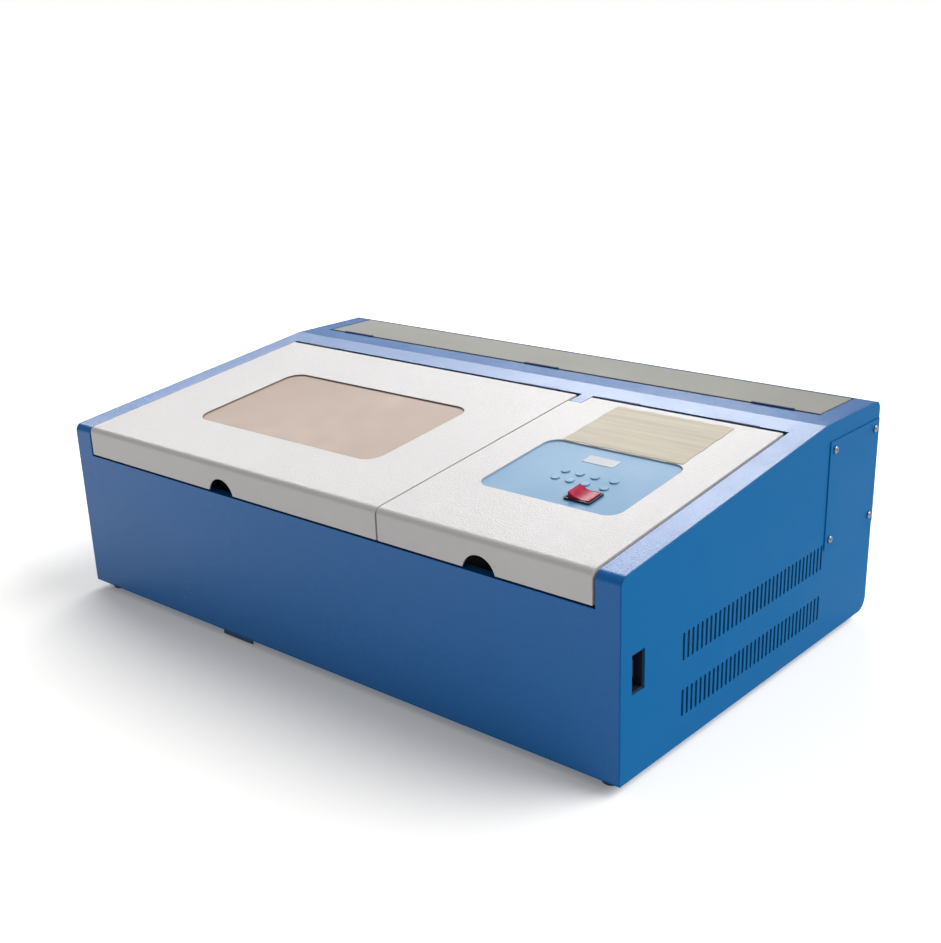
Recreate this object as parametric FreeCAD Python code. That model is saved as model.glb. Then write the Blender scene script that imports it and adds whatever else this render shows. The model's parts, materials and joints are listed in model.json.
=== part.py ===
"""Desktop laser engraver: a sheet-metal case with a work bay, a controls bay and a tube bay.

Millimetres, +Z up, +X to the right of someone facing the machine, +Y to its rear.
The origin is on the floor under the middle of the whole machine.
Most places are given as a distance back from the front panel and a height above the floor.
"""
import FreeCAD, Part
import math
import os
from FreeCAD import Vector

os.makedirs("parts", exist_ok=True)

# ---- overall sizes -------------------------------------------------------------------------
CASE_WIDTH = 800.0
CASE_DEPTH = 489.0
FRONT_HEIGHT = 202.0
REAR_HEIGHT = 247.5
FLAT_TOP_DEPTH = 124.0
SHEET = 1.5
THIN_SHEET = 1.2
FRONT_TOP_BEND = 9.0
REAR_TOP_BEND = 10.0
REAR_BOTTOM_BEND = 15.0
SPIGOT_REACH = 36.0

# ---- feet and front skid -------------------------------------------------------------------
FOOT_HEIGHT = 10.0
FOOT_RADIUS = 12.0
FOOT_TAPER = 1.5
FOOT_INSET_X = 22.0
FOOT_INSET_Y = 20.5
SKID_WIDTH = 50.0
SKID_DEPTH = 22.0
SKID_HEIGHT = 9.0
SKID_X = -135.0
SKID_SETBACK = 5.5

# ---- clearances ----------------------------------------------------------------------------
BODY_GAP = 0.3
LID_GAP = 2.5
RUNNING_FIT = 0.06
PIN_GRIP = 0.04

# ---- lids ----------------------------------------------------------------------------------
DECK_EDGE = 27.5
LID_SIDE_GAP = 3.0
LID_RISE = 1.0
LID_REAR_SETBACK = 22.0
LID_FLANGE = 11.0
LID_BEND = 7.0
LIP_BOTTOM = 170.0
HEM_DEPTH = 12.0
CONTROLS_BAY_WIDTH = 291.75
NOTCH_WIDTH = 40.0
NOTCH_HEIGHT = 15.5
LEDGE_WIDTH = 14.0
DECK_TAB_OFFSET = 2.0
DECK_TAB_WIDTH = 15.0
DECK_TAB_REACH = 16.0
WINDOW_LEFT_MARGIN = 97.5
WINDOW_RIGHT_MARGIN = 84.5
WINDOW_FRONT = 82.0
WINDOW_DEPTH = 163.0
WINDOW_CORNER = 20.0
PANE_THICKNESS = 3.0
PANE_LAP = 10.0
REAR_LID_SETBACK = 86.5
REAR_LID_DEPTH = 74.0

# ---- hinges --------------------------------------------------------------------------------
HINGE_WIDTH = 51.0
HINGE_BARREL = 2.2
HINGE_PIN = 1.0
HINGE_LEAF = 1.2
HINGE_LEAF_REACH = 15.0
HINGE_SETBACK = 3.5
REAR_HINGE_SETBACK = 2.5
HINGE_END_INSET = 55.0

# ---- control panel -------------------------------------------------------------------------
PANEL_SIDE_MARGIN = 41.5
PANEL_LEFT_MARGIN = 48.5
PANEL_FRONT = 91.5
PANEL_DEPTH = 127.5
PANEL_CORNER = 16.0
PANEL_LAP = 8.0
DISPLAY_OFFSET_X = 64.0
DISPLAY_OFFSET_S = 93.5
DISPLAY_WIDTH = 38.0
DISPLAY_DEPTH = 16.0
KEY_RADIUS = 4.5
KEY_HEIGHT = 1.2
KEY_COLUMNS = (63.6, 81.5, 100.0, 123.0)
KEY_ROWS = (67.0, 50.0)
ROCKER_OFFSET_X = 116.0
ROCKER_OFFSET_S = 26.0
ROCKER_WIDTH = 31.0
ROCKER_DEPTH = 25.0
ROCKER_RIM = 1.9
BEZEL_HEIGHT = 2.0
ROCKER_TILT = 12.0
ROCKER_PIVOT = 1.2

# ---- right side: vents, port and access panel ------------------------------------------------
VENT_COUNT = 35
VENT_PITCH = 7.9
VENT_WIDTH = 3.6
VENT_LENGTH = 28.5
VENT_FIRST = 101.0
VENT_ROWS = (28.0, 86.5)
PORT_FRONT = 17.0
PORT_DEPTH = 20.0
PORT_BOTTOM = 85.0
PORT_HEIGHT = 40.0
ACCESS_SETBACK = 115.0
ACCESS_DEPTH = 113.5
ACCESS_BOTTOM = 108.0
ACCESS_HEIGHT = 120.0
ACCESS_SCREW_INSET = 10.0
ACCESS_FRAME = 16.0
SCREW_HEAD = 4.0
SCREW_SHANK = 2.0

# ---- partitions and tube bay -----------------------------------------------------------------
TUBE_BAY_DEPTH = 136.0
SHELF_GAP = 0.7
TUBE_RADIUS = 25.0
TUBE_WALL = 2.0
TUBE_LENGTH = 670.0
TUBE_BORE = 4.5
TUBE_BORE_WALL = 1.5
CAP_LENGTH = 6.0
CAP_PLUG = 3.0
CAP_NOSE_RADIUS = 9.0
CAP_NOSE_LENGTH = 8.0
BEAM_RISE = 40.0
BEAM_INSET = 48.0
TUBE_START = 52.0
SADDLE_OFFSETS = (110.0, 550.0)
SADDLE_WIDTH = 24.0
SADDLE_WALL = 4.0
SADDLE_FOOT = 9.0
BEAM_HOLE = 10.0
CABLE_HOLE = 12.0
CABLE_HOLE_FRONT = 60.0
CABLE_HOLE_RISE = 20.0
MIRROR_RADIUS = 8.0
MIRROR_THICKNESS = 3.0
MIRROR_PLATE = (28.0, 5.0, 30.0)
MIRROR_STEM_WIDTH = 12.0
MIRROR_FOOT = (30.0, 26.0, 3.0)

# ---- exhaust ---------------------------------------------------------------------------------
FAN_SIZE = 112.0
FAN_DEPTH = 38.0
FAN_INSET = 190.0
FAN_RIM = 2.0
BLADE_TIP_GAP = 2.0
BLADE_THICKNESS = 2.5
BLADE_TWIST = 38.0
HUB_RADIUS = 20.0
SPINDLE_RADIUS = 2.0
BLADE_COUNT = 7
SPIDER_ARM = 6.0
SPIDER_DEPTH = 4.0
SPIGOT_RADIUS = 50.0
SPIGOT_FLANGE = 6.0
DUCT_WIDTH = 240.0
DUCT_LEAD = 23.0
DUCT_OVER_FAN = 2.0
DUCT_OUTLET_LIP = 8.0

# ---- inlets on the back wall -------------------------------------------------------------------
INLET_WIDTH = 28.0
INLET_HEIGHT = 22.0
INLET_FROM_SIDE = 100.0
INLET_RISE = 60.0
INLET_FLANGE = (9.0, 4.0, 3.0)
INLET_BODY_DEPTH = 20.0
INLET_POCKET_DEPTH = 14.0
INLET_WALL = 2.0
HOSE_HOLE = 7.0
HOSES_FROM_SIDE = (280.0, 240.0)
HOSE_RISE = 25.0

# ---- controls bay ----------------------------------------------------------------------------
SOCKET_DEPTH = 24.0
SOCKET_WALL = 2.0
SOCKET_POCKET = 16.0
BOARD_FROM_SPLIT = 61.75
BOARD_FRONT = 40.0
BOARD_WIDTH = 100.0
BOARD_DEPTH = 80.0
BOARD_RISE = 8.0
BOARD_THICKNESS = 1.6
BOARD_POST = 3.0
SINK_SIZE = (28.0, 30.0, 12.4)
SINK_GROOVES = 5
SUPPLY_FROM_SPLIT = 66.75
SUPPLY_WIDTH = 155.0
SUPPLY_DEPTH = 170.0
SUPPLY_HEIGHT = 88.0
SUPPLY_SETBACK = 18.0
SUPPLY_SLOTS = 12
SUPPLY_SLOT_PITCH = 11.0
SUPPLY_SLOT_WIDTH = 4.0
STRIP_DEPTH = 14.0
STRIP_HEIGHT = 16.0

# ---- motion system ---------------------------------------------------------------------------
ROD_RADIUS = 5.0
ROD_INSET = 70.0
ROD_FROM_SPLIT = 33.25
RODS_UNDER_BEAM = 28.0
BAR_FRONT = 29.0
BAR_SETBACK = 17.0
BAR_DEPTH = 12.0
BAR_HALF_HEIGHT = 9.0
BAR_LIFT = 2.0
HOME_FROM_BAR = 31.0
BLOCK_HALF_WIDTH = 12.0
BLOCK_HALF_DEPTH = 14.0
BLOCK_DROP = 9.0
BLOCK_RISE = 16.0
BEAM_HALF_DEPTH = 8.0
BEAM_DROP = 4.0
BEAM_TOP = 12.0
BRACKET = 3.0
HEAD_FROM_ROD = 50.0
HEAD_HALF_WIDTH = 22.0
SLIDER_SHEET = 4.0
PULLEY_RADIUS = 6.5
PULLEY_RIM = 2.0
PULLEY_AXLE = 2.5
BELT_WIDTH = 6.0
BELT_THICKNESS = 1.5
BELT_CLEARANCE = 0.7
BELT_FROM_ROD = 25.0
HEAD_BELT_GAP = 1.2
HEAD_BELT_RISE = 5.0
SHAFT_RADIUS = 4.0
SHAFT_FROM_BAR = 18.0
SHAFT_HOLE = 10.0
SUPPORT_PLATE = 4.0
BEARING_PLATE = 5.0
X_DRIVE_FROM_ROD = 57.0
X_IDLER_FROM_ROD = 30.0
OPTIC_OFFSET = 52.0
LENS_CUBE = 13.0
LENS_BARREL = 10.5
LENS_DROP = 50.0
NOZZLE_LENGTH = 16.0
NOZZLE_TIP = 4.0
LENS_BORE = 2.5
SIGHT_HOLE = 5.0
MOTOR_SIZE = 42.0
MOTOR_LENGTH = 40.0
MOTOR_CHAMFER = 4.0
MOTOR_BOSS = 7.5

# ---- work bed --------------------------------------------------------------------------------
BED_FROM_ROD = 190.0
BED_WIDTH = 250.0
BED_FRONT = 105.0
BED_DEPTH = 180.0
BED_HEIGHT = 52.0
BED_SHEET = 2.0
BED_POST = 5.0
BED_POST_INSET = 12.0
JAW_HEIGHT = 12.0
JAW_INSET = 30.0
JAW_THICKNESS = 10.0
JAW_REAR_INSET = 4.0
JAW_OPENING = 30.0
GUIDE_RADIUS = 3.0
GUIDE_INSET = 45.0

# ---- places that follow from the sizes above -------------------------------------------------
FRONT_Y = -(CASE_DEPTH + SPIGOT_REACH) / 2
REAR_Y = FRONT_Y + CASE_DEPTH
BOTTOM_Z = FOOT_HEIGHT
TRAY_Z = BOTTOM_Z + SHEET
TOP_Z = BOTTOM_Z + REAR_HEIGHT
FRONT_TOP_Z = BOTTOM_Z + FRONT_HEIGHT
BREAK_Y = REAR_Y - FLAT_TOP_DEPTH
SLOPE = math.atan2(REAR_HEIGHT - FRONT_HEIGHT, BREAK_Y - FRONT_Y)
SIDE_X = CASE_WIDTH / 2
INNER_X = SIDE_X - SHEET
LIP_Z = BOTTOM_Z + LIP_BOTTOM
SPLIT_X = SIDE_X - CONTROLS_BAY_WIDTH
LID_OPENING_HALF = SIDE_X - DECK_EDGE
REAR_PARTITION = CASE_DEPTH - TUBE_BAY_DEPTH
LID_REAR = REAR_PARTITION - LID_REAR_SETBACK
HINGE_S = LID_REAR + HINGE_SETBACK
DECK_REAR_S = HINGE_S + HINGE_SETBACK
DECK_TAB_X = SPLIT_X + DECK_TAB_OFFSET
LEFT_LID_X = (-LID_OPENING_HALF + LID_SIDE_GAP, SPLIT_X - LID_GAP / 2)
RIGHT_LID_X = (SPLIT_X + LID_GAP / 2, LID_OPENING_HALF - LID_SIDE_GAP)
PANEL_X = (RIGHT_LID_X[0] + PANEL_LEFT_MARGIN, RIGHT_LID_X[1] - PANEL_SIDE_MARGIN)
REAR_LID_FRONT = CASE_DEPTH - REAR_LID_SETBACK
REAR_LID_AXIS = REAR_LID_FRONT - REAR_HINGE_SETBACK
ACCESS_FRONT = CASE_DEPTH - ACCESS_SETBACK
FAN_X = -SIDE_X + FAN_INSET
FAN_Z = BOTTOM_Z + REAR_BOTTOM_BEND + BODY_GAP + FAN_SIZE / 2
ROTOR_RADIUS = FAN_SIZE / 2 - FAN_RIM - BLADE_TIP_GAP
SHELF_Z = FAN_Z + FAN_SIZE / 2 + SHELF_GAP
BEAM_Z = SHELF_Z + BEAM_RISE
BEAM_X = -SIDE_X + BEAM_INSET
TUBE_LEFT = BEAM_X + TUBE_START
TUBE_Y = (REAR_PARTITION + CASE_DEPTH) / 2
INLET_X = (SIDE_X - INLET_FROM_SIDE - INLET_WIDTH / 2, SIDE_X - INLET_FROM_SIDE + INLET_WIDTH / 2)
INLET_Z = (BOTTOM_Z + INLET_RISE - INLET_HEIGHT / 2, BOTTOM_Z + INLET_RISE + INLET_HEIGHT / 2)
HOSE_Z = SHELF_Z + HOSE_RISE
ROD_Z = BEAM_Z - RODS_UNDER_BEAM
ROD_LEFT = -SIDE_X + ROD_INSET
ROD_RIGHT = SPLIT_X - ROD_FROM_SPLIT
BAR_REAR = REAR_PARTITION - BAR_SETBACK
BAR_LOW = ROD_Z - BAR_HALF_HEIGHT + BAR_LIFT
BELT_REACH = PULLEY_RADIUS + BODY_GAP + BELT_THICKNESS
BELT_Z = BAR_LOW - BELT_REACH - BELT_CLEARANCE
FLANGE_RADIUS = PULLEY_RADIUS + PULLEY_RIM
Y_SHAFT = BAR_REAR - SHAFT_FROM_BAR
Y_IDLER = BAR_FRONT + BAR_DEPTH / 2
Y_BELT_LEFT = ROD_LEFT + BELT_FROM_ROD
Y_BELT_RIGHT = ROD_RIGHT - BELT_FROM_ROD
GANTRY_HOME = BAR_REAR - HOME_FROM_BAR
HEAD_HOME = ROD_LEFT + HEAD_FROM_ROD
X_BELT_Y = GANTRY_HOME - BEAM_HALF_DEPTH - BELT_REACH - HEAD_BELT_GAP
X_DRIVE = ROD_RIGHT - X_DRIVE_FROM_ROD
X_IDLER = ROD_LEFT + X_IDLER_FROM_ROD
BED_X = ROD_LEFT + BED_FROM_ROD
BED_Z = BOTTOM_Z + BED_HEIGHT


# ---- helpers ---------------------------------------------------------------------------------
def box(x, y, z):
    """A block between two x, two distances from the front, and two heights above the floor."""
    corner = Vector(min(x), FRONT_Y + min(y), min(z))
    return Part.makeBox(abs(x[1] - x[0]), abs(y[1] - y[0]), abs(z[1] - z[0]), corner)


def rod(axis, start, radius, length):
    """A cylinder from a start point given as x, distance from the front, height."""
    direction = {"x": Vector(1, 0, 0), "y": Vector(0, 1, 0), "z": Vector(0, 0, 1)}[axis]
    place = Vector(start[0], FRONT_Y + start[1], start[2])
    return Part.makeCylinder(radius, length, place, direction)


def fuse(shapes):
    """One solid from touching shapes."""
    joined = shapes[0].fuse(shapes[1:])
    return joined.removeSplitter()


def cut(shape, tools):
    """The shape less every tool."""
    return shape.cut(tools)


def save(name, *solids):
    """Write one named piece, or a group of like pieces, to its own file."""
    found = [s for shape in solids for s in shape.Solids]
    whole = found[0] if len(found) == 1 else Part.makeCompound(found)
    whole.exportStep(os.path.join("parts", name + ".step"))


def rounded_wire(points, radii):
    """A closed wire through the points with each corner rounded to its radius."""
    edges = []
    starts = []
    ends = []
    middles = []
    count = len(points)
    for i in range(count):
        here = points[i]
        back = (points[i - 1] - here).normalize()
        ahead = (points[(i + 1) % count] - here).normalize()
        half = back.getAngle(ahead) / 2
        reach = radii[i] / math.tan(half) if radii[i] else 0.0
        bisector = (back + ahead).normalize()
        centre = here + bisector * (radii[i] / math.sin(half))
        starts.append(here + back * reach)
        ends.append(here + ahead * reach)
        middles.append(centre - bisector * radii[i])
    for i in range(count):
        if radii[i]:
            edges.append(Part.Arc(starts[i], middles[i], ends[i]).toShape())
        following = starts[(i + 1) % count]
        if ends[i].distanceToPoint(following) > 1e-6:
            edges.append(Part.makeLine(ends[i], following))
    return Part.Wire(edges)


def prism_x(points, radii, x):
    """Extrude an outline of (y, z) points along X between two x."""
    outline = [Vector(x[0], y, z) for y, z in points]
    return Part.Face(rounded_wire(outline, radii)).extrude(Vector(x[1] - x[0], 0, 0))


def slab(x, y, z, radius):
    """A block with rounded upright edges, in plain x, y, z."""
    outline = [Vector(x[0], y[0], z[0]), Vector(x[1], y[0], z[0])]
    outline += [Vector(x[1], y[1], z[0]), Vector(x[0], y[1], z[0])]
    face = Part.Face(rounded_wire(outline, [radius] * 4))
    return face.extrude(Vector(0, 0, z[1] - z[0]))


def on_slope(shape):
    """Lay a shape made in (x, distance up the slope, height off the deck) on the sloping deck."""
    placed = shape.copy()
    placed.rotate(Vector(0, 0, 0), Vector(1, 0, 0), math.degrees(SLOPE))
    placed.translate(Vector(0, FRONT_Y, FRONT_TOP_Z))
    return placed


def deck_box(x, s, n):
    """A block on the sloping deck."""
    return on_slope(slab(x, s, n, 0))


def slope_point(s, n):
    """The (y, z) of a place on the sloping deck."""
    y = FRONT_Y + s * math.cos(SLOPE) - n * math.sin(SLOPE)
    return y, FRONT_TOP_Z + s * math.sin(SLOPE) + n * math.cos(SLOPE)


# ---- case ------------------------------------------------------------------------------------
def case_outline(inset):
    """The side outline of the case, moved inwards by the inset, and its corner radii."""
    flat = TOP_Z - inset
    front = FRONT_Y + inset
    rise = inset / math.cos(SLOPE)
    front_top = FRONT_TOP_Z - rise + inset * math.tan(SLOPE)
    knee = BREAK_Y + inset * math.tan(SLOPE / 2)
    points = [(front, BOTTOM_Z + inset), (REAR_Y - inset, BOTTOM_Z + inset)]
    points += [(REAR_Y - inset, flat), (knee, flat), (front, front_top)]
    radii = [0, REAR_BOTTOM_BEND - inset, REAR_TOP_BEND - inset, 0, FRONT_TOP_BEND - inset]
    return points, radii


def case_skin():
    """The folded sheet that runs round the case between its two side panels."""
    outer = prism_x(*case_outline(0), (-INNER_X, INNER_X))
    inner = prism_x(*case_outline(SHEET), (-INNER_X, INNER_X))
    return cut(outer, [inner])


def lower_split():
    """The space of the base and rear panel: the floor of the case and its back wall."""
    rear_seam = TOP_Z - 2 * REAR_TOP_BEND
    floor = box((-SIDE_X, SIDE_X), (-1, CASE_DEPTH + 1), (BOTTOM_Z - 1, TRAY_Z))
    back = box((-SIDE_X, SIDE_X), (CASE_DEPTH / 2, CASE_DEPTH + 1), (BOTTOM_Z, rear_seam))
    return fuse([floor, back])


def make_upper_shell(skin):
    """Front panel, sloping deck and flat top in one sheet, open under each lid."""
    shell = cut(skin, [lower_split()])
    half = LID_OPENING_HALF
    tab = deck_box((DECK_TAB_X, DECK_TAB_X + DECK_TAB_WIDTH),
                   (LID_REAR - DECK_TAB_REACH, DECK_REAR_S + 1), (-20, 20))
    deck_hole = cut(deck_box((-half, half), (-20, DECK_REAR_S), (-20, 20)), [tab])
    hem_z = LIP_Z - LID_GAP
    front_hole = box((-half, half), (-1, HEM_DEPTH), (hem_z, FRONT_TOP_Z + 20))
    ends = half + LID_SIDE_GAP - 1
    rear_edge = REAR_LID_FRONT + REAR_LID_DEPTH + 2
    top_hole = box((-ends, ends), (REAR_LID_AXIS - REAR_HINGE_SETBACK, rear_edge),
                   (TOP_Z - 5, TOP_Z + 5))
    shell = cut(shell, [deck_hole, front_hole, top_hole])
    hem = box((-half, half), (SHEET / 2, HEM_DEPTH), (hem_z - SHEET, hem_z))
    return fuse([shell, hem])


def make_base_and_rear(skin):
    """The floor of the case, folded up at the rear into the back wall."""
    sheet = skin.common(lower_split())
    outlet = rod("y", (FAN_X, CASE_DEPTH - 5, FAN_Z), SPIGOT_RADIUS - SHEET, 10)
    inlet = box(INLET_X, (CASE_DEPTH - 5, CASE_DEPTH + 5), INLET_Z)
    hoses = [rod("y", (SIDE_X - x, CASE_DEPTH - 5, HOSE_Z), HOSE_HOLE, 10) for x in HOSES_FROM_SIDE]
    return cut(sheet, [outlet, inlet] + hoses)


def side_panel(x):
    """A flat side of the case."""
    return prism_x(*case_outline(0), x)


def vent_slot(distance, height):
    """One upright slot with round ends through the right side."""
    radius = VENT_WIDTH / 2
    x = (SIDE_X - 5, SIDE_X + 5)
    low = BOTTOM_Z + height + radius
    high = low + VENT_LENGTH - VENT_WIDTH
    middle = box(x, (distance - radius, distance + radius), (low, high))
    ends = [rod("x", (x[0], distance, z), radius, 10) for z in (low, high)]
    return middle.fuse(ends)


def make_right_side():
    """The right side, with vent slots, a port and a way in to the end of the tube."""
    panel = side_panel((INNER_X, SIDE_X))
    slots = []
    for height in VENT_ROWS:
        for i in range(VENT_COUNT):
            slots.append(vent_slot(VENT_FIRST + i * VENT_PITCH, height))
    port = box((INNER_X - 1, SIDE_X + 1), (PORT_FRONT, PORT_FRONT + PORT_DEPTH), port_z(0))
    frame = ACCESS_FRAME
    way_in = box((INNER_X - 1, SIDE_X + 1),
                 (ACCESS_FRONT + frame, ACCESS_FRONT + ACCESS_DEPTH - frame),
                 (BOTTOM_Z + ACCESS_BOTTOM + frame, BOTTOM_Z + ACCESS_BOTTOM + ACCESS_HEIGHT - frame))
    holes = [rod("x", (INNER_X - 1, y, z), SCREW_SHANK, 10) for y, z in access_screws()]
    return cut(panel, slots + [port, way_in] + holes)


def port_z(inset):
    """The lower and upper edge of the side port."""
    return BOTTOM_Z + PORT_BOTTOM + inset, BOTTOM_Z + PORT_BOTTOM + PORT_HEIGHT - inset


def access_screws():
    """Where the four screws of the access panel go, as (distance from the front, height)."""
    low = BOTTOM_Z + ACCESS_BOTTOM + ACCESS_SCREW_INSET
    high = BOTTOM_Z + ACCESS_BOTTOM + ACCESS_HEIGHT - ACCESS_SCREW_INSET
    near = ACCESS_FRONT + ACCESS_SCREW_INSET
    far = ACCESS_FRONT + ACCESS_DEPTH - ACCESS_SCREW_INSET
    return [(near, low), (near, high), (far, low), (far, high)]


def make_access_panel():
    """The plate screwed over the way in to the tube bay."""
    plate = box((SIDE_X, SIDE_X + THIN_SHEET), (ACCESS_FRONT, ACCESS_FRONT + ACCESS_DEPTH),
                (BOTTOM_Z + ACCESS_BOTTOM, BOTTOM_Z + ACCESS_BOTTOM + ACCESS_HEIGHT))
    holes = [rod("x", (SIDE_X - 1, y, z), SCREW_SHANK, 10) for y, z in access_screws()]
    return cut(plate, holes)


def make_panel_screw(y, z):
    """A pan-head screw with a cross recess."""
    outer = SIDE_X + THIN_SHEET
    head = rod("x", (outer, y, z), SCREW_HEAD, 2.0)
    head = head.makeChamfer(0.7, [e for e in head.Edges if abs(e.BoundBox.XMin - outer - 2.0) < 1e-6])
    recess_a = box((outer + 1.2, outer + 3), (y - 2, y + 2), (z - 0.4, z + 0.4))
    recess_b = box((outer + 1.2, outer + 3), (y - 0.4, y + 0.4), (z - 2, z + 2))
    shank = rod("x", (INNER_X - 4, y, z), SCREW_SHANK - PIN_GRIP, outer - INNER_X + 4)
    return cut(fuse([head, shank]), [recess_a, recess_b])


def make_foot(x, y):
    """A round rubber foot, narrower at the floor."""
    place = Vector(x, FRONT_Y + y, 0)
    return Part.makeCone(FOOT_RADIUS - FOOT_TAPER, FOOT_RADIUS, FOOT_HEIGHT, place)


def make_skid():
    """A folded channel under the front edge that keeps the floor sheet off the bench."""
    x = (SKID_X - SKID_WIDTH / 2, SKID_X + SKID_WIDTH / 2)
    y = (SKID_SETBACK, SKID_SETBACK + SKID_DEPTH)
    block = box(x, y, (BOTTOM_Z - SKID_HEIGHT, BOTTOM_Z))
    hollow = box((x[0] - 1, x[1] + 1), (y[0] + SHEET, y[1] - SHEET), (0, BOTTOM_Z - SHEET))
    return cut(block, [hollow])


# ---- inside walls ----------------------------------------------------------------------------
def ledge_n():
    """The lower and upper face of the ledges that the lids rest on, off the deck."""
    top = LID_RISE - LID_FLANGE - BODY_GAP
    return top - SHEET, top


def make_lid_rests():
    """Angle strips under the deck's left and right edges, and flat strips round the tube bay."""
    strips = []
    low, top = ledge_n()
    s = (HEM_DEPTH + 4, LID_REAR - 4)
    for side in (-1, 1):
        edge = side * LID_OPENING_HALF
        wall = deck_box(sorted((edge, edge + side * SHEET)), s, (low, -SHEET))
        ledge = deck_box(sorted((edge + side * SHEET, edge - side * LEDGE_WIDTH)), s, (low, top))
        strips.append(fuse([wall, ledge]))
    ends = LID_OPENING_HALF + LID_SIDE_GAP - 1
    z = (TOP_Z - 2 * SHEET, TOP_Z - SHEET)
    rear = CASE_DEPTH - REAR_TOP_BEND
    for side in (-1, 1):
        x = sorted((side * (ends - LEDGE_WIDTH), side * (ends + LEDGE_WIDTH / 2)))
        strips.append(box(x, (REAR_LID_FRONT + 10, rear - LEDGE_WIDTH), z))
    strips.append(box((-ends - 5, ends + 5), (rear - LEDGE_WIDTH + 1, rear), z))
    return strips


def make_centre_partition():
    """The wall between the work bay and the controls bay, with a flange under both lids."""
    low, top = ledge_n()
    x = (SPLIT_X - THIN_SHEET / 2, SPLIT_X + THIN_SHEET / 2)
    front = HEM_DEPTH + 1
    top_front = slope_point(front / math.cos(SLOPE), low)
    rear_s = (REAR_PARTITION - 1) / math.cos(SLOPE)
    outline = [(FRONT_Y + front, TRAY_Z), (FRONT_Y + REAR_PARTITION, TRAY_Z)]
    outline += [(FRONT_Y + REAR_PARTITION, slope_point(rear_s, low)[1]), top_front]
    wall = prism_x(outline, [0] * 4, x)
    s = (HEM_DEPTH + 4, LID_REAR - DECK_TAB_REACH - 6)
    flange = deck_box((SPLIT_X - LEDGE_WIDTH, SPLIT_X + LEDGE_WIDTH), s, (low, top))
    flange_foot = deck_box(x, s, (low - 2, top))
    shaft_hole = rod("x", (SPLIT_X - 5, Y_SHAFT, BELT_Z), SHAFT_HOLE, 10)
    cable_hole = rod("x", (SPLIT_X - 5, CABLE_HOLE_FRONT, TRAY_Z + CABLE_HOLE_RISE), CABLE_HOLE, 10)
    return cut(fuse([wall, flange_foot, flange]), [shaft_hole, cable_hole])


def make_rear_partition():
    """The wall behind the bays, folded into the shelf that carries the tube."""
    x = (-INNER_X, INNER_X)
    y = (REAR_PARTITION, REAR_PARTITION + THIN_SHEET)
    top = slope_point(REAR_PARTITION / math.cos(SLOPE), 0)[1] - 2 * SHEET - HINGE_LEAF
    wall = box(x, y, (TRAY_Z, top))
    shelf = box(x, (REAR_PARTITION, CASE_DEPTH - SHEET), (SHELF_Z, SHELF_Z + SHEET))
    beam_hole = rod("y", (BEAM_X, REAR_PARTITION - 5, BEAM_Z), BEAM_HOLE, 10)
    duct_hole = box(duct_x(BODY_GAP), (REAR_PARTITION - 5, REAR_PARTITION + 5),
                    (TRAY_Z - 1, duct_top() + BODY_GAP))
    cable_hole = rod("y", (sum(RIGHT_LID_X) / 2, REAR_PARTITION - 5, SHELF_Z + CABLE_HOLE_RISE),
                     CABLE_HOLE, 10)
    return cut(fuse([wall, shelf]), [beam_hole, duct_hole, cable_hole])


# ---- hinges ----------------------------------------------------------------------------------
def knuckle(x, bore):
    """One barrel of a hinge, on the X axis."""
    outer = Part.makeCylinder(HINGE_BARREL, x[1] - x[0], Vector(x[0], 0, 0), Vector(1, 0, 0))
    inner = Part.makeCylinder(bore, x[1] - x[0] + 2, Vector(x[0] - 1, 0, 0), Vector(1, 0, 0))
    return outer, inner


def leaf(x, side, z, knuckles, bore):
    """A hinge leaf on one side of the X axis with the barrels it carries."""
    near = HINGE_BARREL + BODY_GAP
    far = HINGE_LEAF_REACH
    pieces = [slab(x, sorted((side * near, side * far)), z, 0)]
    bores = []
    for span in knuckles:
        outer, inner = knuckle(span, bore)
        root = HINGE_PIN + 0.3 if z[1] > 0 else 0.0
        pieces.append(slab(span, sorted((side * root, side * (near + 1))), z, 0))
        pieces.append(outer)
        bores.append(inner)
    return cut(fuse(pieces), bores)


def hinge(centre, fixed_side, fixed_z, moving_z):
    """The fixed leaf, moving leaf and pin of one hinge whose axis is the X axis."""
    third = HINGE_WIDTH / 3
    left = centre - HINGE_WIDTH / 2
    spans = [(left, left + third - BODY_GAP)]
    spans += [(left + third, left + 2 * third), (left + 2 * third + BODY_GAP, left + HINGE_WIDTH)]
    whole = (left, left + HINGE_WIDTH)
    fixed = leaf(whole, fixed_side, fixed_z, [spans[0], spans[2]], HINGE_PIN + PIN_GRIP)
    moving = leaf(whole, -fixed_side, moving_z, [spans[1]], HINGE_PIN + RUNNING_FIT)
    pin = Part.makeCylinder(HINGE_PIN, HINGE_WIDTH, Vector(left, 0, 0), Vector(1, 0, 0))
    return fixed, moving, pin


def lid_hinges(lid_x):
    """Two hinges at the rear of a sloping lid."""
    fixed_z = (-SHEET - HINGE_LEAF, -SHEET)
    moving_z = (LID_RISE - SHEET - HINGE_LEAF, LID_RISE - SHEET)
    sets = []
    for centre in (lid_x[0] + HINGE_END_INSET, lid_x[1] - HINGE_END_INSET):
        made = hinge(centre, 1, fixed_z, moving_z)
        for shape in made:
            shape.translate(Vector(0, HINGE_S, 0))
        sets.append([on_slope(shape) for shape in made])
    return sets


def rear_lid_underside():
    """The underside of the rear lid, from the flat top: just clear of the strips it rests on."""
    return BODY_GAP - SHEET


def rear_lid_hinges():
    """Three hinges along the front of the rear lid."""
    fixed_z = (-SHEET - HINGE_LEAF, -SHEET)
    moving_z = (rear_lid_underside() - HINGE_LEAF, rear_lid_underside())
    sets = []
    reach = LID_OPENING_HALF - HINGE_END_INSET
    for centre in (-reach, 0.0, reach):
        made = hinge(centre, -1, fixed_z, moving_z)
        for shape in made:
            shape.translate(Vector(0, FRONT_Y + REAR_LID_AXIS, TOP_Z))
        sets.append(made)
    return sets


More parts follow.
